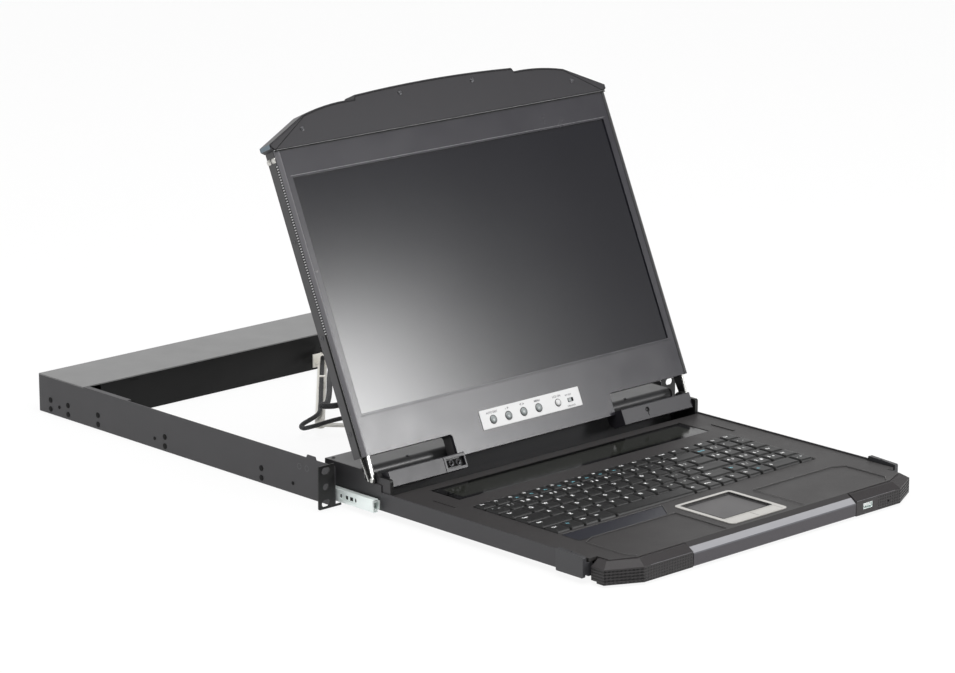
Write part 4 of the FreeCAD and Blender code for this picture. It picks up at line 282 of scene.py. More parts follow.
def screen_film():
    """Anti-glare film over a dark display."""
    f = Finish("screen_film", (0.005, 0.005, 0.008), 0.18)
    f.set("IOR", 1.52)
    haze = f.noise(5200.0, 1.0)
    f.bump(haze, 0.02, 0.00005)
    f.set("Base Color", f.vary(0.1, 6.0))
    f.set("Roughness", f.noise(9.0, 2.0) * 0.02 + 0.17)
    return f.material


def glossy_tint():
    """Smoked window, black along its edge and a little lighter where it is clear."""
    f = Finish("smoked_window", (0.020, 0.021, 0.018), 0.12)
    low, high = lows("status_window"), highs("status_window")
    middle, half = (low + high) / 2, (high - low) / 2
    across, along, _ = f.axes()
    ends = (across - middle[0]).size().ramp(half[0] - 9 * MM, half[0] - 8.4 * MM)
    edges = (along - middle[1]).size().ramp(half[1] - 6 * MM, half[1] - 5.4 * MM)
    border = ends.most(edges)
    f.set("Roughness", f.noise(30.0, 3.0) * 0.05 + 0.08)
    f.set("Base Color", f.mix(border, f.vary(0.1, 10.0), (0.004, 0.004, 0.004)))
    return f.material


def dimpled_rubber():
    """Grip rubber: rows of round dimples on the front face, each painted near black as the shade in its pit,
    and a fine tooth all over.

    A dimple is where the distance to the nearest point of a grid is under about a third of the pitch, each
    axis counted in its own pitch. A stretch beside the plate of the right grip stays plain.
    """
    f = Finish("grip_rubber", (0.021, 0.018, 0.019), 0.5)
    pitch_across, pitch_up = 3.4 * MM, 2.75 * MM
    across, _, up = f.axes()
    column = (across / pitch_across).fraction() - 0.5
    line = ((up - lows("front_bar")[2]) / pitch_up).fraction() - 0.5
    apart = (column * column + line * line).root()
    front = 1 - up.ramp(GRIP_TOP - 1.0 * MM, GRIP_TOP - 0.6 * MM)
    inner_end = lows("right_grip")[0]
    plain = across.over(inner_end - 2 * MM) - across.over(inner_end + 31 * MM)
    dimple = (1 - apart.ramp(0.26, 0.42)) * front * (1 - plain)
    grain = f.noise(2400.0, 2.0)
    f.bump(grain * 0.2 + (1 - dimple) * 0.8, 1.0, 0.0008, edge=0.6 * MM)
    # Painted shade: the dimples are coloured near black for the shade in their pits.
    f.set("Base Color", f.mix(dimple, f.vary(0.08, 12.0), (0.003, 0.003, 0.003)))
    f.set("Roughness", f.noise(26.0, 4.0) * 0.14 + 0.42)
    return f.material


def sloped_strip():
    """The bar's top: deck colour on the gentle slope, a light blue-grey strip on the steep one."""
    f = Finish("bevel_plastic", (0.27, 0.27, 0.285), 0.34)
    front, back = lows("front_bevel_strip")[1], lows("keyboard_deck")[1]
    crease = front + (back - front) * 0.56
    along = f.axes()[1]
    deck = along.over(crease)
    lip = 1 - along.over(front + 0.5 * MM)
    body = f.mix(deck, f.vary(0.05, 20.0), (0.034, 0.032, 0.033))
    f.set("Base Color", f.mix(lip, body, (0.09, 0.09, 0.10)))
    f.bump(f.noise(2600.0, 2.0), 0.1, 0.0002)
    return f.material


def cap_finish():
    """Cap plastic, with pale blue-grey end faces."""
    f = Finish("cap_plastic", (0.016, 0.015, 0.018), 0.38, Specular_IOR_Level=0.4)
    reach = highs("lcd_cap")[0]
    end = f.axes()[0].size().over(reach - 0.3 * MM)
    f.set("Base Color", f.mix(end, f.vary(0.06, 12.0), (0.13, 0.17, 0.20)))
    f.bump(f.noise(2400.0, 2.0), 0.15, 0.0002, edge=0.7 * MM)
    rub = f.noise(26.0, 4.0, 0.6)
    f.set("Roughness", rub * 0.1 + 0.33)
    return f.material


def hinge_plate():
    """Bright channel whose web is black."""
    f = Finish("hinge_plate", (0.62, 0.62, 0.60), 0.24, 0.9)
    flange = f.axes()[0].size().over(highs("right_hinge_arm")[0] - 2.2 * MM)
    f.set("Base Color", f.mix(flange, (0.006, 0.006, 0.006), f.vary(0.1, 60.0)))
    f.set("Metallic", flange * 0.9)
    return f.material


def bracket_coat():
    """Charcoal side plates with black hinge knuckles inside them."""
    f = Finish("bracket_coat", (0.030, 0.029, 0.031), 0.42)
    reach = highs("right_side_bracket")[0]
    knuckle = 1 - f.axes()[0].size().over(reach - 1.25 * MM)
    f.set("Base Color", f.mix(knuckle, f.vary(0.08), (0.006, 0.006, 0.006)))
    f.bump(f.noise(900.0, 2.0), 0.12, 0.0002)
    return f.material


def board_laminate():
    """Green laminate with rows of solder pads."""
    f = Finish("board_laminate", (0.02, 0.11, 0.05), 0.35)
    pads = f.node("ShaderNodeTexVoronoi", {"distance": "CHEBYCHEV"}, {"Vector": f.place, "Scale": 260.0},
                  out="Distance")
    pad = 1 - pads.ramp(0.18, 0.24)
    f.set("Base Color", f.mix(pad, f.vary(0.2, 60.0), (0.45, 0.42, 0.36)))
    f.set("Metallic", pad * 0.8)
    return f.material


def braid():
    """Braided sleeve: crossing threads, wound by the piece's own lengthwise and round coordinates."""
    f = Finish("braided_sleeve", (0.012, 0.012, 0.013), 0.6)
    threads, waves_per_metre = 6, 2600.0
    around, along, _ = f.axes(f.node("ShaderNodeTexCoord", out="UV"))
    turn, run = around * (2 * math.pi * threads), along * waves_per_metre
    weave = (run + turn).sine().most((run - turn).sine())
    f.bump(weave, 0.7, 0.0004)
    f.set("Base Color", f.mix(weave.ramp(0.75, 1.0), (0.01, 0.01, 0.011), (0.09, 0.09, 0.095)))
    return f.material


steel = powder_coat("charcoal_coat", (0.040, 0.039, 0.042), shine=0.4)
# The top cover's mid grey is partly its paint and partly painted reflection of the bright surroundings in
# its satin coat.
cover_coat = powder_coat("cover_coat", (0.16, 0.16, 0.16), 0.36, 0.06)
box_coat = powder_coat("box_coat", (0.060, 0.060, 0.062), 0.34, 0.06)
dark_coat = powder_coat("dark_coat", (0.004, 0.004, 0.004), 0.55, shine=0.25)
ear_coat = powder_coat("ear_coat", (0.009, 0.009, 0.009), 0.5, shine=0.4)
zinc = rolled_metal("zinc_plate", (0.88, 0.96, 0.93), 0.34, 1, 0.5, 0.35)
link_coat = moulding("link_zinc", (0.80, 0.78, 0.72), 0.32, 0.05)
bright = rolled_metal("bright_plate", (0.62, 0.61, 0.58), 0.3, 2, 0.2, 0.7)
shell_plastic = moulding("shell_plastic", (0.052, 0.051, 0.053), 0.42, 0.2)
bezel_plastic = moulding("bezel_plastic", (0.022, 0.021, 0.026), 0.25, 0.05)
cover_plastic = moulding("cover_plastic", (0.020, 0.019, 0.023), 0.34, 0.08, shine=0.4)
cap_plastic = cap_finish()
dark_plastic = moulding("dark_plastic", (0.018, 0.018, 0.019), 0.45)
latch_plastic = moulding("latch_plastic", (0.036, 0.036, 0.039), 0.42)
deck_plastic = moulding("deck_plastic", (0.030, 0.028, 0.028), 0.5, 0.3)
bar_plastic = moulding("bar_plastic", (0.046, 0.042, 0.048), 0.45)
key_plastic = moulding("key_plastic", (0.012, 0.012, 0.012), 0.42, 0.1, shine=0.35)
silver = moulding("silver_paint", (0.40, 0.39, 0.37), 0.34, 0.06, 4200.0)
panel_white = moulding("panel_white", (0.56, 0.56, 0.56), 0.34, 0.04, 4200.0)
bevel = sloped_strip()
rubber = dimpled_rubber()
button_grey = moulding("button_grey", (0.24, 0.26, 0.26), 0.26, 0.05)
pad_film = moulding("pad_film", (0.060, 0.057, 0.058), 0.4, 0.1, 3800.0)
film = screen_film()
window_tint = glossy_tint()
laminate = board_laminate()
sleeve = braid()
bracket = bracket_coat()
hinge_metal = hinge_plate()

# The nodes that wear each finish.
LOOKS = {
    steel: "left_side_rail right_side_rail base_pan",
    ear_coat: "left_rack_ear right_rack_ear",
    box_coat: "rear_cover",
    bracket: "left_side_bracket right_side_bracket",
    cover_coat: "rear_top_cover",
    dark_coat: "rear_housing rail_rivets",
    zinc: "slide_outer_members slide_middle_members slide_inner_members console_ports usb_socket",
    link_coat: "arm_wall_bracket arm_rear_link arm_front_link",
    hinge_metal: "left_hinge_arm right_hinge_arm",
    bezel_plastic: "lcd_bezel",
    shell_plastic: "lcd_back_shell",
    cover_plastic: "left_hinge_cover right_hinge_cover",
    cap_plastic: "lcd_cap",
    dark_plastic: "lcd_screws power_inlet power_rocker",
    latch_plastic: "left_latch right_latch",
    deck_plastic: "keyboard_deck keyboard_base",
    bar_plastic: "front_bar",
    key_plastic: "key_row_function key_row_digits key_row_upper key_row_middle key_row_lower"
                 " key_row_bottom",
    silver: "touchpad_frame touchpad_left_button touchpad_right_button",
    panel_white: "button_panel power_button",
    bevel: "front_bevel_strip",
    rubber: "left_grip right_grip",
    film: "display_panel",
    window_tint: "status_window",
    pad_film: "touchpad_surface",
    laminate: "main_board drawer_board",
    sleeve: "arm_cables_rear arm_cables_front",
    button_grey: "menu_button_1 menu_button_2 menu_button_3 menu_button_4 slide_switch",
}
for look, names in LOOKS.items():
    for name in names.split():
        materials = cad_nodes[name].data.materials
        materials.clear()
        materials.append(look)


# ---------------------------------------------------------------- meshes from arrays

def mm(*pairs):
    """Pairs given in millimetres, as an array in metres."""
    return np.array(pairs) * MM


def grid_faces(rows, columns, closed=False):
    """Quads of a grid of rows by columns points; closed joins the end of each row to its start."""
    i = np.arange(rows - 1)
    j = np.arange(columns if closed else columns - 1)
    i, j = [a.ravel() for a in np.meshgrid(i, j, indexing="ij")]
    this, after, right = i * columns, (i + 1) * columns, (j + 1) % columns
    return np.stack([this + j, this + right, after + right, after + j], 1).tolist()


class Surface:
    """Points and faces gathered from several shapes, for one piece."""

    def __init__(self):
        self.points = []
        self.faces = []
        self.count = 0

    def add(self, points, faces):
        points = np.asarray(points, float).reshape(-1, 3)
        self.points.append(points)
        self.faces += [[k + self.count for k in face] for face in faces]
        self.count += len(points)

    def turned(self, profile, centre, axis, sides=20):
        """A surface of revolution: p(i, a) = centre + h_i n + r_i (cos a u + sin a v), for (r_i, h_i)."""
        axis = np.asarray(axis, float)
        first = np.cross(axis, (0, 0, 1) if abs(axis[2]) < 0.9 else (1, 0, 0))
        first /= np.linalg.norm(first)
        second = np.cross(axis, first)
        turn = np.linspace(0, 2 * math.pi, sides, endpoint=False)
        ring = np.cos(turn)[:, None] * first + np.sin(turn)[:, None] * second
        profile = np.asarray(profile, float)
        rings = centre + profile[:, 1, None, None] * axis + profile[:, 0, None, None] * ring
        self.add(rings, grid_faces(len(profile), sides, closed=True))

    def prism(self, first, last):
        """A straight prism from one closed outline to its like, shut at both ends."""
        count = len(first)
        faces = [[k, (k + 1) % count, (k + 1) % count + count, k + count] for k in range(count)]
        faces += [list(range(count))[::-1], list(range(count, 2 * count))]
        self.add(np.concatenate([first, last]), faces)

    def slab(self, corner, opposite, to_row=None):
        """A plain block between two corners, in the row frame or, through to_row, in the display's."""
        x, y, z = np.meshgrid(*np.sort([corner, opposite], axis=0).T, indexing="ij")
        points = np.stack([x, y, z], -1).reshape(-1, 3)
        if to_row:
            points = to_row(*points.T)
        self.add(points, [[0, 1, 3, 2], [4, 6, 7, 5], [0, 4, 5, 1], [2, 3, 7, 6], [0, 2, 6, 4],
                          [1, 5, 7, 3]])

    def tube(self, path, radius, sides=10):
        """A round tube: p(i, a) = c_i + r (cos a u_i + sin a v_i), u_i and v_i carried along the path."""
        path = np.asarray(path, float)
        ahead = np.gradient(path, axis=0)
        ahead /= np.linalg.norm(ahead, axis=1)[:, None]
        across = np.cross(ahead[0], (0.1, 0.2, 1.0))
        turn = np.linspace(0, 2 * math.pi, sides, endpoint=False)
        rings = []
        for place, direction in zip(path, ahead):
            across = across - direction * across.dot(direction)
            across /= np.linalg.norm(across)
            other = np.cross(direction, across)
            rings.append(place + radius * (np.cos(turn)[:, None] * across + np.sin(turn)[:, None] * other))
        self.add(rings, grid_faces(len(path), sides, closed=True))

    def piece(self, name, look, body, slot, smooth=True, uv=None):
        """All the shapes as one piece that rides on a body; uv gives each point's place in a pattern."""
        mesh = bpy.data.meshes.new(name)
        mesh.from_pydata(np.concatenate(self.points).tolist(), [], self.faces)
        if uv is not None:
            layer = mesh.uv_layers.new(name="sleeve")
            corners = np.zeros(len(mesh.loops), int)
            mesh.loops.foreach_get("vertex_index", corners)
            layer.data.foreach_set("uv", uv[corners].ravel())
        mesh.validate()
        mesh.materials.append(look)
        mesh.polygons.foreach_set("use_smooth", [smooth] * len(mesh.polygons))
        mesh.update()
        piece = bpy.data.objects.new(name, mesh)
        scene.collection.objects.link(piece)
        if body:
            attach(piece, body)
        return piece


def smooth_path(places, steps=12):
    """Catmull-Rom curve through the places: each stretch is a cubic with the neighbours' chord as slope."""
    places = np.asarray(places, float)
    ends = np.concatenate([[2 * places[0] - places[1]], places, [2 * places[-1] - places[-2]]])
    t = np.linspace(0, 1, steps, endpoint=False)[:, None]
    stretches = []
    for a, b, c, d in zip(ends, ends[1:], ends[2:], ends[3:]):
        stretches.append(0.5 * (2 * b + (c - a) * t + (2 * a - 5 * b + 4 * c - d) * t ** 2
                                + (3 * b - a - 3 * c + d) * t ** 3))
    return np.concatenate([*stretches, places[-1:]])


# ---------------------------------------------------------------- screws, rivets and trims

def cad_points(node):
    """Every point of a CAD node, in the row frame."""
    mesh = cad_nodes[node].data
    places = np.zeros(len(mesh.vertices) * 3)
    mesh.vertices.foreach_get("co", places)
    return places.reshape(-1, 3)


def parts_of(node):
    """Points of each loose part of a CAD node: those joined by edges, once points that meet count as one."""
    mesh = cad_nodes[node].data
    places = cad_points(node)
    _, same = np.unique(places.round(6), axis=0, return_inverse=True)
    same = same.ravel()
    label = np.arange(same.max() + 1)
    links = np.array([(same[a], same[b]) for a, b in (edge.vertices for edge in mesh.edges)])
    while True:
        lowest = label.copy()
        np.minimum.at(lowest, links[:, 0], label[links[:, 1]])
        np.minimum.at(lowest, links[:, 1], label[links[:, 0]])
        lowest = lowest[lowest]
        if (lowest == label).all():
            break
        label = lowest
    owner = label[same]
    return [places[owner == part] for part in np.unique(owner)]


def heads(node, look, body, slot, profile, inside, lone, paired):
    """Turned heads in place of a node's plain ones, each on its own part's middle, axis and size.

    inside is a point that every axis points away from. A lone head is wider than its part by lone, and one
    with a neighbour close by is wider by paired.
    """
    close_by = 14 * MM
    surface = Surface()
    parts = parts_of(node)
    middles = np.array([(points.min(0) + points.max(0)) / 2 for points in parts])
    for points, middle in zip(parts, middles):
        near = (np.linalg.norm(middles - middle, axis=1) < close_by).sum()
        wide = paired if near > 1 else lone
        offsets = points - points.mean(0)
        axis = np.linalg.svd(offsets, full_matrices=False)[2][-1]
        if axis.dot(middle - inside) < 0:
            axis = -axis
        high = np.ptp(offsets @ axis)
        radius = np.linalg.norm(offsets - np.outer(offsets @ axis, axis), axis=1).max()
        shape = [(r * radius * wide, h * high) for r, h in profile]
        surface.turned(shape, points.mean(0) - axis * high / 2, axis)
    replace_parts(surface.piece(f"{node}_heads", look, body, slot), node)


# Profiles of heads, as shares of their radius and height.
SCREW = ((1.0, 0), (1.0, 0.6), (0.86, 1.0), (0.62, 1.0), (0.5, 0.3), (0.3, 0.2), (0.001, 0.2))
RIVET = ((1.0, 0), (1.0, 0.35), (0.82, 0.78), (0.5, 0.97), (0.001, 1.0))

LID_INSIDE = on_lid(0, 170 * MM, -20 * MM)
void = moulding("black_void", (0.002, 0.002, 0.002), 0.9)
screw_black = rolled_metal("screw_black", (0.10, 0.10, 0.105), 0.3, 0)
heads("lcd_screws", screw_black, "display", "shell_plastic", SCREW, LID_INSIDE, 1.25, 1.25)
heads("rail_rivets", void, "chassis", "painted_steel", RIVET, np.array([0, 0.2, 0]), 0.9, 1.45)


def rail_marks():
    """Two pressed rings near the front of each rail and a narrow slot in the wall of the housing, which is a
    black sheet painted as the shade inside the slot.
    """
    rings, slot = Surface(), Surface()
    ring = mm((3.1, 0), (2.9, 0.12), (2.5, 0.12), (2.3, 0))
    for side in (-1, 1):
        for y in (39.9 * MM, 50.8 * MM):
            rings.turned(ring, (side * RAIL_FACE, y, BASE + 29.1 * MM), (side, 0, 0))
    wall = lows("rear_housing")[1]
    # Painted shade: a black sheet on the wall where the slot is.
    slot.slab((-159 * MM, wall - 0.15 * MM, BASE + 33.2 * MM), (-148 * MM, wall, BASE + 35 * MM))
    rings.piece("rail_rings", screw_black, "chassis", "painted_steel")
    slot.piece("housing_slot_shade", void, "chassis", "painted_steel", smooth=False)


rail_marks()


def cover_screws():
    """Flat screws along both edges of the drawer's rear box."""
    surface = Surface()
    front, back = lows("rear_cover")[1] + 6 * MM, highs("rear_cover")[1] - 5 * MM
    shape = np.array(SCREW) * (1.9 * MM, 0.6 * MM)
    for y, x in ((front, 50), (front, 147.5), (back, 100), (back, 203)):
        for side in (-1, 1):
            surface.turned(shape, (side * x * MM, y, COVER_TOP), (0, 0, 1))
    surface.piece("rear_cover_screws", screw_black, "drawer", "painted_steel")


cover_screws()


# ---------------------------------------------------------------- display trims

SIDES = (("left", -1), ("right", 1))
LCD_HALF = highs("lcd_bezel")[0]
LID_FOOT = 23 * MM
LID_TOP = 322.5 * MM
BEZEL_FACE = 7.6 * MM


def side_ridges():
    """Low ridge along each side of the bezel: a broad outer facet and a narrow one towards the screen. The
    left ridge is painted lighter as the lit side and the right one darker as the shaded side.
    """
    section = mm((0.04, 5.0), (0.04, 5.9), (-3.4, 7.7), (-4.6, 7.7), (-5.2, 7.1), (-5.2, 6.9))
    for name, side in SIDES:
        x, out = (section if side > 0 else section[::-1]).T
        surface = Surface()
        surface.prism(*[on_lid(side * (LCD_HALF + x), up, out) for up in (LID_FOOT, LID_TOP)])
        # Painted light and shade: a lighter grey on the left ridge and a darker one on the right, as if lit
        # from the left.
        look = painted_lit_grey if side < 0 else painted_shade_ridge
        surface.piece(f"{name}_bezel_ridge", look, "display", "shell_plastic", smooth=False)


def side_vents():
    """Seam down each side of the display: a dark strip with a row of light teeth in its upper part and a
    light band below them, both pale grey as painted highlights.
    """
    foot, top, first_tooth = LID_FOOT + 1 * MM, LID_TOP - 14 * MM, LID_FOOT + 120 * MM
    tooth, pitch = 1.2 * MM, 2.6 * MM
    for name, side in SIDES:
        strip, teeth = Surface(), Surface()
        inner, outer = side * (LCD_HALF - 0.3 * MM), side * (LCD_HALF + 0.06 * MM)
        strip.slab((inner, foot, 2.0 * MM), (outer, top, 5.9 * MM), on_lid)
        outer += side * 0.06 * MM
        for up in np.arange(first_tooth, top, pitch):
            # Painted highlight: the teeth, and the band under them, are pale grey to stand for light on the
            # serration.
            teeth.slab((inner, up, 2.7 * MM), (outer, up + tooth, 5.3 * MM), on_lid)
        teeth.slab((inner, foot, 5.1 * MM), (outer, first_tooth - 1 * MM, 5.4 * MM), on_lid)
        strip.piece(f"{name}_vent_strip", void, "display", "shell_plastic", smooth=False)
        teeth.piece(f"{name}_vent_teeth", painted_highlight_pale, "display", "shell_plastic", smooth=False)


def lid_lines():
    """Light upper edge of the screen and lower edge of the cap, both painted highlights, and the dark lower
    edge of the screen and the joint under the cap.
    """
    dark, light = Surface(), Surface()
    half = highs("display_panel")[0]
    ups = (cad_points("display_panel") - HINGE) @ UP_SCREEN
    low, high, front = ups.min(), ups.max(), 7.0 * MM
    # Painted highlight: a light grey strip along the screen's upper edge.
    light.slab((-half, high, front), (half, high + 0.15 * MM, front + 0.05 * MM), on_lid)
    dark.slab((-half, low - 0.4 * MM, front), (half, low, front + 0.04 * MM), on_lid)
    dark.slab((-LCD_HALF, LID_TOP - 1.1 * MM, front), (LCD_HALF, LID_TOP, 8.2 * MM), on_lid)
    cap = cad_points("lcd_cap") - HINGE
    out = (cap @ OFF_SCREEN).max()
    reach = highs("lcd_cap")[0]
    foot = (cap @ UP_SCREEN).min()
    # Painted highlight: a light grey strip along the cap's lower edge.
    light.slab((-reach + 3 * MM, foot, out), (reach - 3 * MM, foot + 0.4 * MM, out + 0.05 * MM), on_lid)
    face = cap[cap @ OFF_SCREEN > out - 0.05 * MM]
    spots = np.unique(face[:, 0].round(4))
    tops = np.array([(face[abs(face[:, 0] - x) < 0.1 * MM] @ UP_SCREEN).max() for x in spots])
    dark.tube(on_lid(spots, tops - 0.7 * MM, np.full(len(spots), out - 0.1 * MM)), 0.4 * MM, 6)
    dark.piece("lid_dark_lines", void, "display", "shell_plastic", smooth=False)
    light.piece("lid_highlight_lines", painted_highlight_pale, "display", "shell_plastic", smooth=False)


def side_catches():
    """Plated roller with a neck on each side of the display, just under its cap."""
    roller = mm((1, 0), (3.24, 0), (3.6, 0.6), (3.6, 5), (2.16, 5.4), (2.16, 7.2), (3.6, 7.6), (3.6, 12),
                (3.24, 12.6), (1, 12.6))
    for name, side in SIDES:
        surface = Surface()
        foot = on_lid(side * (LCD_HALF - 2.5 * MM), 314 * MM, -8.4 * MM)
        surface.turned(roller, foot, OFF_SCREEN, 24)
        surface.piece(f"{name}_catch_roller", bright, "display", "plated")


# Painted light from the left: a lighter grey for the left bezel ridge and the grip edges, and a darker grey
# for the right ridge.
painted_lit_grey = moulding("painted_lit_grey", (0.098, 0.096, 0.103), 0.34, 0.05, shine=0.4)
painted_shade_ridge = moulding("painted_shade_ridge", (0.030, 0.029, 0.031), 0.5, 0.05, shine=0.3)
# Pale grey for the vent teeth and the screen and cap edges, painted highlights.
painted_highlight_pale = moulding("painted_highlight_pale", (0.46, 0.46, 0.47), 0.4, 0.05)
side_ridges()
side_vents()
side_catches()
lid_lines()


drawn_words = {}


def word(text):
    """A flat word one unit high, as its points and faces."""
    if text not in drawn_words:
        curve = bpy.data.curves.new("word", "FONT")
        curve.body = text
        curve.resolution_u = 2
        curve.offset = 0.025
        holder = bpy.data.objects.new("word", curve)
        mesh = bpy.data.meshes.new_from_object(holder)
        points = np.zeros(len(mesh.vertices) * 3)
        mesh.vertices.foreach_get("co", points)
        drawn_words[text] = points.reshape(-1, 3), [list(p.vertices) for p in mesh.polygons]
        bpy.data.objects.remove(holder)
        bpy.data.curves.remove(curve)
        bpy.data.meshes.remove(mesh)
    return drawn_words[text]


def lid_word(surface, text, x, up, size):
    """Flat letters just over the bezel's face, centred across on x."""
    flat, polygons = word(text)
    middle = (flat[:, 0].min() + flat[:, 0].max()) / 2
    places = on_lid(x + (flat[:, 0] - middle) * size, up + flat[:, 1] * size, BEZEL_FACE + 0.03 * MM)
    surface.add(places, polygons)


def front_buttons():
    """Domed buttons in dark rings that are painted shadow round each, the white power button and the switch,
    with plain marks over them.
    """
    dome = ((1.0, 0), (1.0, 0.72), (0.88, 0.9), (0.6, 1.0), (0.3, 1.04), (0.001, 1.05))
    ring = mm((0.1, -0.5), (0.1, 0.3), (0.55, 0.3), (0.6, 0))
    seat, proud = 5 * MM, 1.3 * MM
    buttons = [(f"menu_button_{number}", button_grey, "button_grey") for number in range(1, 5)]
    buttons.append(("power_button", panel_white, "silver_plastic"))
    labels = ("AUTO EXIT", "- +", "< >", "MENU", "LCD ON")
    rings, marks = Surface(), Surface()
    for label, (node, look, slot) in zip(labels, buttons):
        low, high = lows(node), highs(node)
        middle, radius = (low + high) / 2, (high[0] - low[0]) / 2
        up = (middle - HINGE) @ UP_SCREEN
        button = Surface()
        shape = np.array(dome) * (radius, BEZEL_FACE + proud - seat)
        button.turned(shape, on_lid(middle[0], up, seat), OFF_SCREEN, 32)
        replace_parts(button.piece(f"{node}_dome", look, f"{node}_body", slot), node)
        # Painted shadow: a dark ring round each button.
        rings.turned(ring + (radius, 0), on_lid(middle[0], up, BEZEL_FACE), OFF_SCREEN, 32)
        size = 4.2 * MM if len(label) < 4 else 2.9 * MM
        lid_word(marks, label, middle[0], up + radius + 2.2 * MM, size)
    switch = (lows("slide_switch") + highs("slide_switch")) / 2
    up = (switch - HINGE) @ UP_SCREEN
    lid_word(marks, "INT EXT", switch[0], up + 4.4 * MM, 2.3 * MM)
    lid_word(marks, "USB LOCK", switch[0] + 1 * MM, up - 6.6 * MM, 2.3 * MM)
    rings.piece("button_shadow_rings", dark_plastic, "display", "shell_plastic")
    marks.piece("button_marks", grey_ink, "display", "silver_plastic", smooth=False)


# ---------------------------------------------------------------- hinge covers

def cover_lamp():
    """Keyboard lamp in the left hinge cover: a dark bed and two lenses in their cups."""
    low, high, floor = -131.5 * MM, -108.4 * MM, 12.6 * MM
    bed, glass, cups = Surface(), Surface(), Surface()
    bed.slab((low + 1 * MM, -7.6 * MM, floor), (high - 1 * MM, -0.6 * MM, floor + 1.4 * MM), on_lid)
    for x in (low + 7 * MM, high - 7 * MM):
        foot = on_lid(x, -4.1 * MM, floor + 1.2 * MM)
        cups.turned(mm((3.2, 0), (3.2, 1.6), (2.6, 1.6), (1.5, 0.4)), foot, OFF_SCREEN)
        glass.turned(mm((1.9, 0), (1.7, 1.0), (1.0, 1.6), (1.0, 1.8)), foot, OFF_SCREEN)
    bed.piece("lamp_bed", void, "display", "shell_plastic", smooth=False)
    cups.piece("lamp_cups", screw_black, "display", "plated")
    glass.piece("lamp_lenses", pad_film, "display", "window")


def lock_mark():
    """Dark ring with a keyhole slot in the right hinge cover; the keyhole is a black sheet painted as the
    shade in it.
    """
    surface = Surface()
    spot = on_lid(141.3 * MM, -2.2 * MM, 16.6 * MM)
    ring = mm((2.7, 0), (2.6, 0.25), (1.9, 0.25), (1.7, -1.1), (1, -1.1))
    surface.turned(ring, spot, OFF_SCREEN, 24)
    # Painted shade: the keyhole is a black sheet.
    surface.slab((140.9 * MM, -8.6 * MM, 16.5 * MM), (141.7 * MM, -4.4 * MM, 16.72 * MM), on_lid)
    surface.piece("lock_ring", void, "display", "shell_plastic")


cover_lamp()
lock_mark()


# ---------------------------------------------------------------- cable arm

# Joints of the cable arm seen from above, and the way across its rear link.
ARM_WALL = np.array([96.0, 384.0]) * MM
ARM_BOX = np.array([96.0, 10.0]) * MM
ELBOW = np.array([-69.9, 197.0]) * MM
ACROSS_LINK = np.array([0.748, -0.664])


def along_link(foot, way, height, beside, tip, tip_y):
    """Places along one link and out to the loop's flank; way is 1 on the rear link and -1 on the front."""
    aside = ACROSS_LINK * (1, way) * beside
    places = [[*(foot + (ELBOW - foot) * share + aside * min(1, share * 4)), height]
              for share in (0, 0.25, 0.5, 0.75)]
    places.append([ELBOW[0] + 16 * MM + aside[0], ELBOW[1] + way * 21 * MM + aside[1], height])
    places.append([tip[0] + 5.5 * MM, tip_y + way * 7.5 * MM, tip[2] + (height - tip[2]) * 0.35])
    return places


def arm_cable(name, height_rear, height_front, tip, radius, beside=0.0):
    """A sleeved cable that follows both links and swings out past the elbow in a narrow loop.

    Its pattern's place is the share of a turn round it and the length run along it.
    """
    rear = along_link(ARM_WALL, 1, height_rear, beside, tip, tip[1])
    front = along_link(ARM_BOX, -1, height_front, beside, tip, ELBOW[1])
    path = smooth_path([*rear, list(tip), *front[::-1]])
    sides = 12
    surface = Surface()
    surface.tube(path, radius, sides)
    run = np.concatenate([[0], np.cumsum(np.linalg.norm(np.diff(path, axis=0), axis=1))])
    uv = np.stack(np.meshgrid(np.arange(sides) / sides, run, indexing="xy"), -1).reshape(-1, 2)
    piece = surface.piece(name, sleeve, None, "sleeve", uv=uv)
    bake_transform(piece)
    return piece


cables = [
    arm_cable("lower_arm_cable", BASE + 13.6 * MM, BASE + 18.5 * MM, (-0.090, 0.199, BASE + 9.9 * MM),
              2.3 * MM),
    arm_cable("upper_arm_cable", BASE + 25.0 * MM, BASE + 29.9 * MM, (-0.066, 0.197, BASE + 29 * MM),
              3.0 * MM, 9 * MM),
]
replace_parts(cables[0], "arm_cables_rear", "arm_cables_front")


# ---------------------------------------------------------------- drawer trims

# Outlines on the deck from above, in millimetres: the right palm recess and the trough before the keys.
PALM_RECESS = ((52.5, -346), (52.5, -282.4), (161.5, -282.4), (175.5, -289.4), (175.5, -339), (168.5, -346))
TROUGH_EDGE = ((-61.4, -280.9), (-45.4, -258.5), (-175.5, -258.5))
TROUGH_FLOOR = ((-61.4, -280.7), (-45.8, -258.7), (-175.3, -258.7), (-175.3, -280.7))


def level(outline, z, side=1):
    """Corners of an outline at one height, mirrored across where side is -1."""
    return [(side * x * MM, y * MM, z) for x, y in outline]


def bead(surface, corners, radius):
    """Thin rounded edge through level corners."""
    corners = np.asarray(corners, float)
    for start, end in zip(corners, corners[1:]):
        surface.tube(np.linspace(start, end, 3), radius, 6)


def deck_edges():
    """Rounded edges of the palm recesses, the trough and the key opening, lighter grey than the deck as
    painted highlight.
    """
    surface = Surface()
    radius, room = 0.28 * MM, 1 * MM
    for side in (-1, 1):
        bead(surface, level(PALM_RECESS, DECK_TOP, side), radius)
    bead(surface, level(TROUGH_EDGE, DECK_TOP), radius)
    low, high = lows("key_row_bottom") - room, highs("key_row_function") + room
    keys = [(low[0], high[1], DECK_TOP), (high[0], high[1], DECK_TOP), (high[0], low[1], DECK_TOP)]
    bead(surface, keys, radius)
    surface.piece("deck_edges", deck_edge_highlight, "drawer", "deck_plastic")


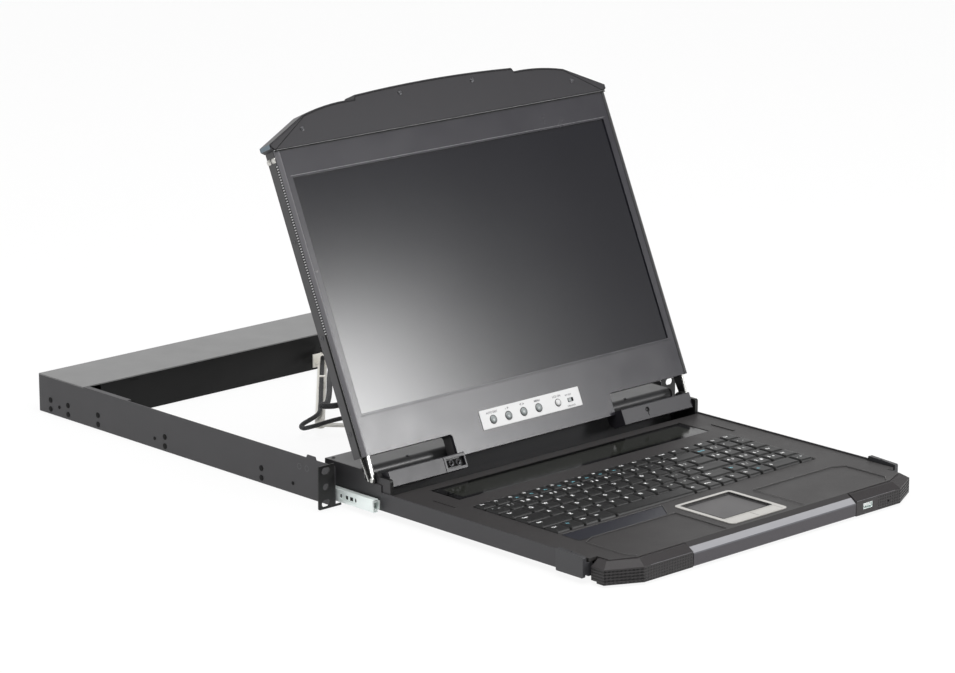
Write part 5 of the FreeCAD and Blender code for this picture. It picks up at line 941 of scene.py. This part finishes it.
def grip_edges():
    """Light edge along the top of each grip's front face, a grey bead as painted highlight."""
    surface = Surface()
    y, corner_reach = lows("front_bar")[1], 41 * MM
    for node in ("left_grip", "right_grip"):
        low, high = lows(node), highs(node)
        outer, inner = (low[0], high[0]) if low[0] < 0 else (high[0], low[0])
        corner = outer - np.sign(outer) * corner_reach
        bead(surface, [(corner, y, GRIP_TOP), (inner, y, GRIP_TOP)], 0.3 * MM)
    # Painted highlight: the bead is lighter grey than the rubber.
    surface.piece("grip_edges", painted_lit_grey, "drawer", "grip_rubber")


def trough_floor():
    """Floor of the trough before the keys, painted darker as shade in the recess."""
    surface = Surface()
    surface.add(level(TROUGH_FLOOR, DECK_TOP - 0.55 * MM), [[0, 1, 2, 3]])
    surface.piece("trough_floor", trough_painted_shade, "drawer", "deck_plastic", smooth=False)


def pad_rims():
    """Dark rim round the pad, with a fine groove outside it, and the split between the buttons."""
    low, high = lows("touchpad_surface"), highs("touchpad_surface")
    frame_top = highs("touchpad_frame")[2]
    surface = Surface()
    radius = 0.5 * MM
    for inset, z in ((-0.2 * MM, frame_top - 0.1 * MM), (2.4 * MM, high[2])):
        x0, x1, y0, y1 = low[0] + inset, high[0] - inset, low[1] + inset, high[1] - inset
        bead(surface, [(x0, y0, z), (x1, y0, z), (x1, y1, z), (x0, y1, z), (x0, y0, z)], radius)
    left, right = highs("touchpad_left_button"), lows("touchpad_right_button")
    middle = (left[0] + right[0]) / 2
    surface.slab((middle - 0.25 * MM, right[1], left[2] - 0.5 * MM),
                 (middle + 0.25 * MM, left[1], left[2] + 0.03 * MM))
    surface.piece("pad_rims", dark_plastic, "drawer", "silver_plastic", smooth=False)


def socket_contacts():
    """Four contacts on the tongue of the front USB socket and its pale tongue face."""
    low, high = lows("usb_socket"), highs("usb_socket")
    surface, tongue = Surface(), Surface()
    x0, x1 = low[0] + 1.4 * MM, high[0] - 1.4 * MM
    z = (low[2] + high[2]) / 2 + 0.2 * MM
    tongue.slab((x0, low[1] + 0.9 * MM, z), (x1, low[1] + 1.1 * MM, z + 1.7 * MM))
    for number in range(4):
        x = x0 + (x1 - x0) * (number + 0.5) / 4
        surface.slab((x - 0.6 * MM, low[1] + 0.6 * MM, z - 0.9 * MM), (x + 0.6 * MM, low[1] + 4 * MM, z))
    tongue.piece("usb_tongue", panel_white, "drawer", "silver_plastic", smooth=False)
    surface.piece("usb_contacts", zinc, "drawer", "zinc", smooth=False)


def ball_retainers():
    """Plated ball retainer behind the window of each middle slide member, with dark pockets."""
    low, high = lows("slide_middle_members"), highs("slide_middle_members")
    y, z = low[1], (low[2] + high[2]) / 2
    plate, pockets = Surface(), Surface()
    for side in (-1, 1):
        inner, outer = side * (high[0] - 2.0 * MM), side * (high[0] - 1.85 * MM)
        plate.slab((inner, y + 20 * MM, z - 3.6 * MM), (outer, y + 52 * MM, z + 3.6 * MM))
        outer += side * 0.05 * MM
        for up in (-3.3 * MM, 3.3 * MM):
            pockets.slab((inner, y + 21 * MM, z + up - 0.3 * MM), (outer, y + 51 * MM, z + up + 0.3 * MM))
        for start, wide in ((21, 0.6), (24, 3), (30, 4), (37, 3), (46, 2), (50.4, 0.6)):
            pockets.slab((inner, y + start * MM, z - 1.7 * MM),
                         (outer, y + (start + wide) * MM, z + 1.7 * MM))
    plate.piece("ball_retainers", zinc, "slide_carriers", "zinc", smooth=False)
    pockets.piece("ball_pockets", void, "slide_carriers", "zinc", smooth=False)


grey_ink = moulding("grey_ink", (0.07, 0.07, 0.08), 0.5)
# Lighter grey for the deck edges, painted highlight.
deck_edge_highlight = moulding("deck_edge_highlight", (0.080, 0.078, 0.078), 0.3)
# Darker colour for the trough floor, painted shade.
trough_painted_shade = moulding("trough_painted_shade", (0.014, 0.015, 0.022), 0.35)
deck_edges()
grip_edges()
trough_floor()
pad_rims()
socket_contacts()
ball_retainers()


# ---------------------------------------------------------------- keys

def singles(words):
    """Keys one pitch wide, from their words with spaces between them."""
    return [(text, 1) for text in words.split()]


# Each row's keys from the left: the word on the key and its width in pitches.
ROWS = {
    "function": singles("Esc F1 F2 F3 F4 F5 F6 F7 F8 F9 F10 F11 F12 Num Prt Scr Brk Ins Del"),
    "digits": singles("` 1 2 3 4 5 6 7 8 9 0 - =") + [("Bksp", 2)] + singles("Home / * -"),
    "upper": [("Tab", 1.5)] + singles("Q W E R T Y U I O P [ ]") + [("\\", 1.5)] + singles("7 8 9 +"),
    "middle": [("Caps", 1.75)] + singles("A S D F G H J K L ; '") + [("Enter", 2.25)] + singles("4 5 6 End"),
    "lower": [("Shift", 2.25)] + singles("Z X C V B N M , . /") + [("Shift", 1.75)]
             + singles("Up 1 2 3 Ent"),
    "bottom": singles("Ctrl Fn Win") + [("Alt", 1.25), ("", 5.75)] + singles("Alt Menu Ctrl Lt Dn Rt")
              + [("0", 2), (".", 1)],
}
KEY_PITCH = 18.27 * MM
KEY_GAP = 0.9 * MM
STATIONS = np.array([-1, -0.95, -0.88, -0.8, -0.7, -0.4, 0, 0.4, 0.7, 0.8, 0.88, 0.95, 1])


def cap_height(u, v, tall):
    """Height of a keycap over its foot: sides that lean in, a rounded edge and a shallow dish.

    u and v run from -1 to 1 across the cap. Each gives a side profile, a smooth step from 0 at the edge to
    1 at about a tenth of the width; the lower of the two is the cap's side, and the dish is a paraboloid.
    """
    def rise(t):
        edge = np.clip((1 - np.abs(t)) / 0.24, 0, 1)
        return np.sin(edge * math.pi / 2) ** 0.75
    dish = 0.3 * MM * (1 - u ** 2) * (1 - v ** 2)
    return tall * np.minimum(rise(u), rise(v)) - dish


def key_row(row, keys):
    """Caps of one row, each a grid of points at the stations with a face across its foot.

    On a wide key the stations near an end keep their distance from it, so that its edge rounds off alike.
    """
    node = f"key_row_{row}"
    low, high = lows(node), highs(node)
    tall = high[2] - low[2]
    middle_y, half_y = (low[1] + high[1]) / 2, (high[1] - low[1]) / 2
    u, v = np.meshgrid(STATIONS, STATIONS, indexing="xy")
    number = np.arange(u.size).reshape(u.shape)
    rim = np.concatenate([number[0], number[1:, -1], number[-1, -2::-1], number[-2:0:-1, 0]])
    faces = grid_faces(*u.shape) + [rim[::-1].tolist()]
    left = low[0] - KEY_GAP / 2
    surface, centres = Surface(), []
    for text, width in keys:
        span = width * KEY_PITCH
        middle_x, half_x = left + span / 2, span / 2 - KEY_GAP / 2
        left += span
        across = np.sign(u) * (1 - (1 - np.abs(u)) * min(1, 8.7 * MM / half_x))
        places = middle_x + across * half_x, middle_y + v * half_y, low[2] + cap_height(u, v, tall)
        surface.add(np.stack(places, -1), faces)
        centres.append((text, middle_x, half_x))
    caps = surface.piece(f"{row}_keycaps", key_plastic, f"keys_{row}", "key_plastic")
    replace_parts(caps, node)
    return centres, middle_y, half_y, low[2], tall


def ink(name, colour):
    f = Finish(name, colour, 0.5)
    f.set("Base Color", f.vary(0.08, 900.0))
    return f.material


white_ink = ink("white_ink", (0.95, 0.96, 0.96))
blue_ink = ink("blue_ink", (0.22, 0.60, 0.72))


def legends(row, layout, pick, look, colour):
    """Printed words that lie on the dished caps, a little over the surface."""
    centres, middle_y, half_y, foot, tall = layout
    over = 0.04 * MM
    surface = Surface()
    for text, middle_x, half_x in centres:
        for label, dx, dy, size in pick(text, half_x):
            flat, polygons = word(label)
            dx, dy = dx + flat[:, 0] * size, dy + flat[:, 1] * size
            z = foot + cap_height(dx / half_x, dy / half_y, tall) + over
            surface.add(np.stack([middle_x + dx, middle_y + dy, z], -1), polygons)
    if surface.count:
        surface.piece(f"{row}_{look}_legends", colour, f"keys_{row}", "key_plastic", smooth=False)


SHIFTED = dict(zip("`1234567890-=[]\\;',./", "~!@#$%^&*()_+{}|:\"<>?"))
BLUE_KEYS = ("Fn", "Home", "Up", "Rt")
BLUE_PAIRS = ("F2", "F3", "F4", "F5", "F6", "F7", "F8", "F9")


def key_words(text, half_x):
    """The key's own word at its upper left, and the sign it gives with shift beside it."""
    if not text:
        return []
    up, size = (0.4 * MM, 5.2 * MM) if len(text) == 1 else (1.2 * MM, 3.4 * MM)
    words = [(text, -half_x + 3.8 * MM, up, size)]
    if text in SHIFTED and half_x < 10 * MM:
        words.append((SHIFTED[text], 0.8 * MM, 0.4 * MM, 4.0 * MM))
    return words


def white_words(text, half_x):
    """The words of every key but those whose whole word is blue."""
    return [] if text in BLUE_KEYS else key_words(text, half_x)


def blue_words(text, half_x):
    """Second function of the function keys, and the keys whose whole word is blue."""
    if text in BLUE_KEYS:
        return key_words(text, half_x)
    return [("Fn", -1.0 * MM, -4.4 * MM, 3.4 * MM)] if text in BLUE_PAIRS else []


front_buttons()

for row_name, row_keys in ROWS.items():
    row_layout = key_row(row_name, row_keys)
    legends(row_name, row_layout, white_words, "white", white_ink)
    legends(row_name, row_layout, blue_words, "blue", blue_ink)


# ---------------------------------------------------------------- stage, lamps and camera

def backdrop():
    """Pale floor and wall that keep a faint shadow and show white to the camera and in reflections."""
    f = Finish("floor_white", (0.9, 0.9, 0.9), 0.9)
    path = f.node("ShaderNodeLightPath", out="Is Camera Ray")
    seen = path
    for other in ("Is Glossy Ray", "Is Transmission Ray"):
        seen = seen.most(Wire(f, path.link.node.outputs[other]))
    f.set("Base Color", f.mix(f.noise(3.0), (0.9, 0.9, 0.9), (0.92, 0.92, 0.92)))
    glow = f.tree.nodes.new("ShaderNodeEmission")
    blend = f.tree.nodes.new("ShaderNodeMixShader")
    f.tree.links.new((seen * 0.9).link, blend.inputs[0])
    f.tree.links.new(f.shader.outputs[0], blend.inputs[1])
    f.tree.links.new(glow.outputs[0], blend.inputs[2])
    f.tree.links.new(blend.outputs[0], f.tree.nodes["Material Output"].inputs[0])
    reach, wall, tall, low = 30.0, 6.0, 7.0, cad_box[0][2] - 1 * MM
    mesh = bpy.data.meshes.new("floor")
    corners = [(-reach, -reach, low), (reach, -reach, low), (reach, wall, low), (-reach, wall, low),
               (reach, wall, tall), (-reach, wall, tall)]
    mesh.from_pydata(corners, [], [(0, 1, 2, 3), (3, 2, 4, 5)])
    mesh.materials.append(f.material)
    floor = bpy.data.objects.new("floor", mesh)
    scene.collection.objects.link(floor)


LIGHT_LEVEL, GLOSSY_LEVEL, SEEN_LEVEL = 0.66, 0.30, 1.0


def sky():
    """White behind the object for the camera, plain grey for light and a darker grey in reflections."""
    world = bpy.data.worlds.new("studio")
    world.use_nodes = True
    tree = world.node_tree
    path = tree.nodes.new("ShaderNodeLightPath")
    level = tree.nodes.new("ShaderNodeRGB").outputs[0]
    level.default_value = (LIGHT_LEVEL, LIGHT_LEVEL, LIGHT_LEVEL, 1)
    for ray, shade in (("Is Glossy Ray", GLOSSY_LEVEL), ("Is Camera Ray", SEEN_LEVEL)):
        mix = tree.nodes.new("ShaderNodeMix")
        mix.data_type = "RGBA"
        tree.links.new(path.outputs[ray], mix.inputs["Factor"])
        tree.links.new(level, mix.inputs[6])
        mix.inputs[7].default_value = (shade, shade, shade, 1)
        level = mix.outputs[2]
    tree.links.new(level, tree.nodes["Background"].inputs["Color"])
    scene.world = world


def softbox(name, at, towards, wide, high, power):
    """A rectangular lamp at a place in metres, aimed at another, of a power in watts."""
    lamp = bpy.data.lights.new(name, "AREA")
    lamp.shape = "RECTANGLE"
    lamp.size = wide
    lamp.size_y = high
    lamp.energy = power
    box = bpy.data.objects.new(name, lamp)
    box.location = at
    aim = np.array(towards) - np.array(at)
    box.rotation_mode = "QUATERNION"
    box.rotation_quaternion = Vector(aim).to_track_quat("-Z", "Y")
    scene.collection.objects.link(box)


CAMERA_PLACE = (-2.417149, -2.531141, 1.015641)
CAMERA_DOWN = math.radians(14.5847)
CAMERA_RIGHT = math.radians(43.2415)
CAMERA_LENS = 139.78


def stand_camera():
    """A long lens before the front left corner, turned down and to the right."""
    eye = bpy.data.cameras.new("camera")
    eye.sensor_width = 36
    eye.lens = CAMERA_LENS
    eye.clip_end = 100
    camera = bpy.data.objects.new("camera", eye)
    camera.location = CAMERA_PLACE
    camera.rotation_euler = (math.pi / 2 - CAMERA_DOWN, 0, -CAMERA_RIGHT)
    scene.collection.objects.link(camera)
    scene.camera = camera


backdrop()
sky()
softbox("key_softbox", (1.68, -2.322, 1.036), (0, -0.1, 0.1), 0.55, 0.7, 30)
softbox("top_softbox", (-0.4, -0.6, 2.6), (0, 0, 0), 2.0, 2.0, 60)
stand_camera()
scene.view_settings.view_transform = "Standard"
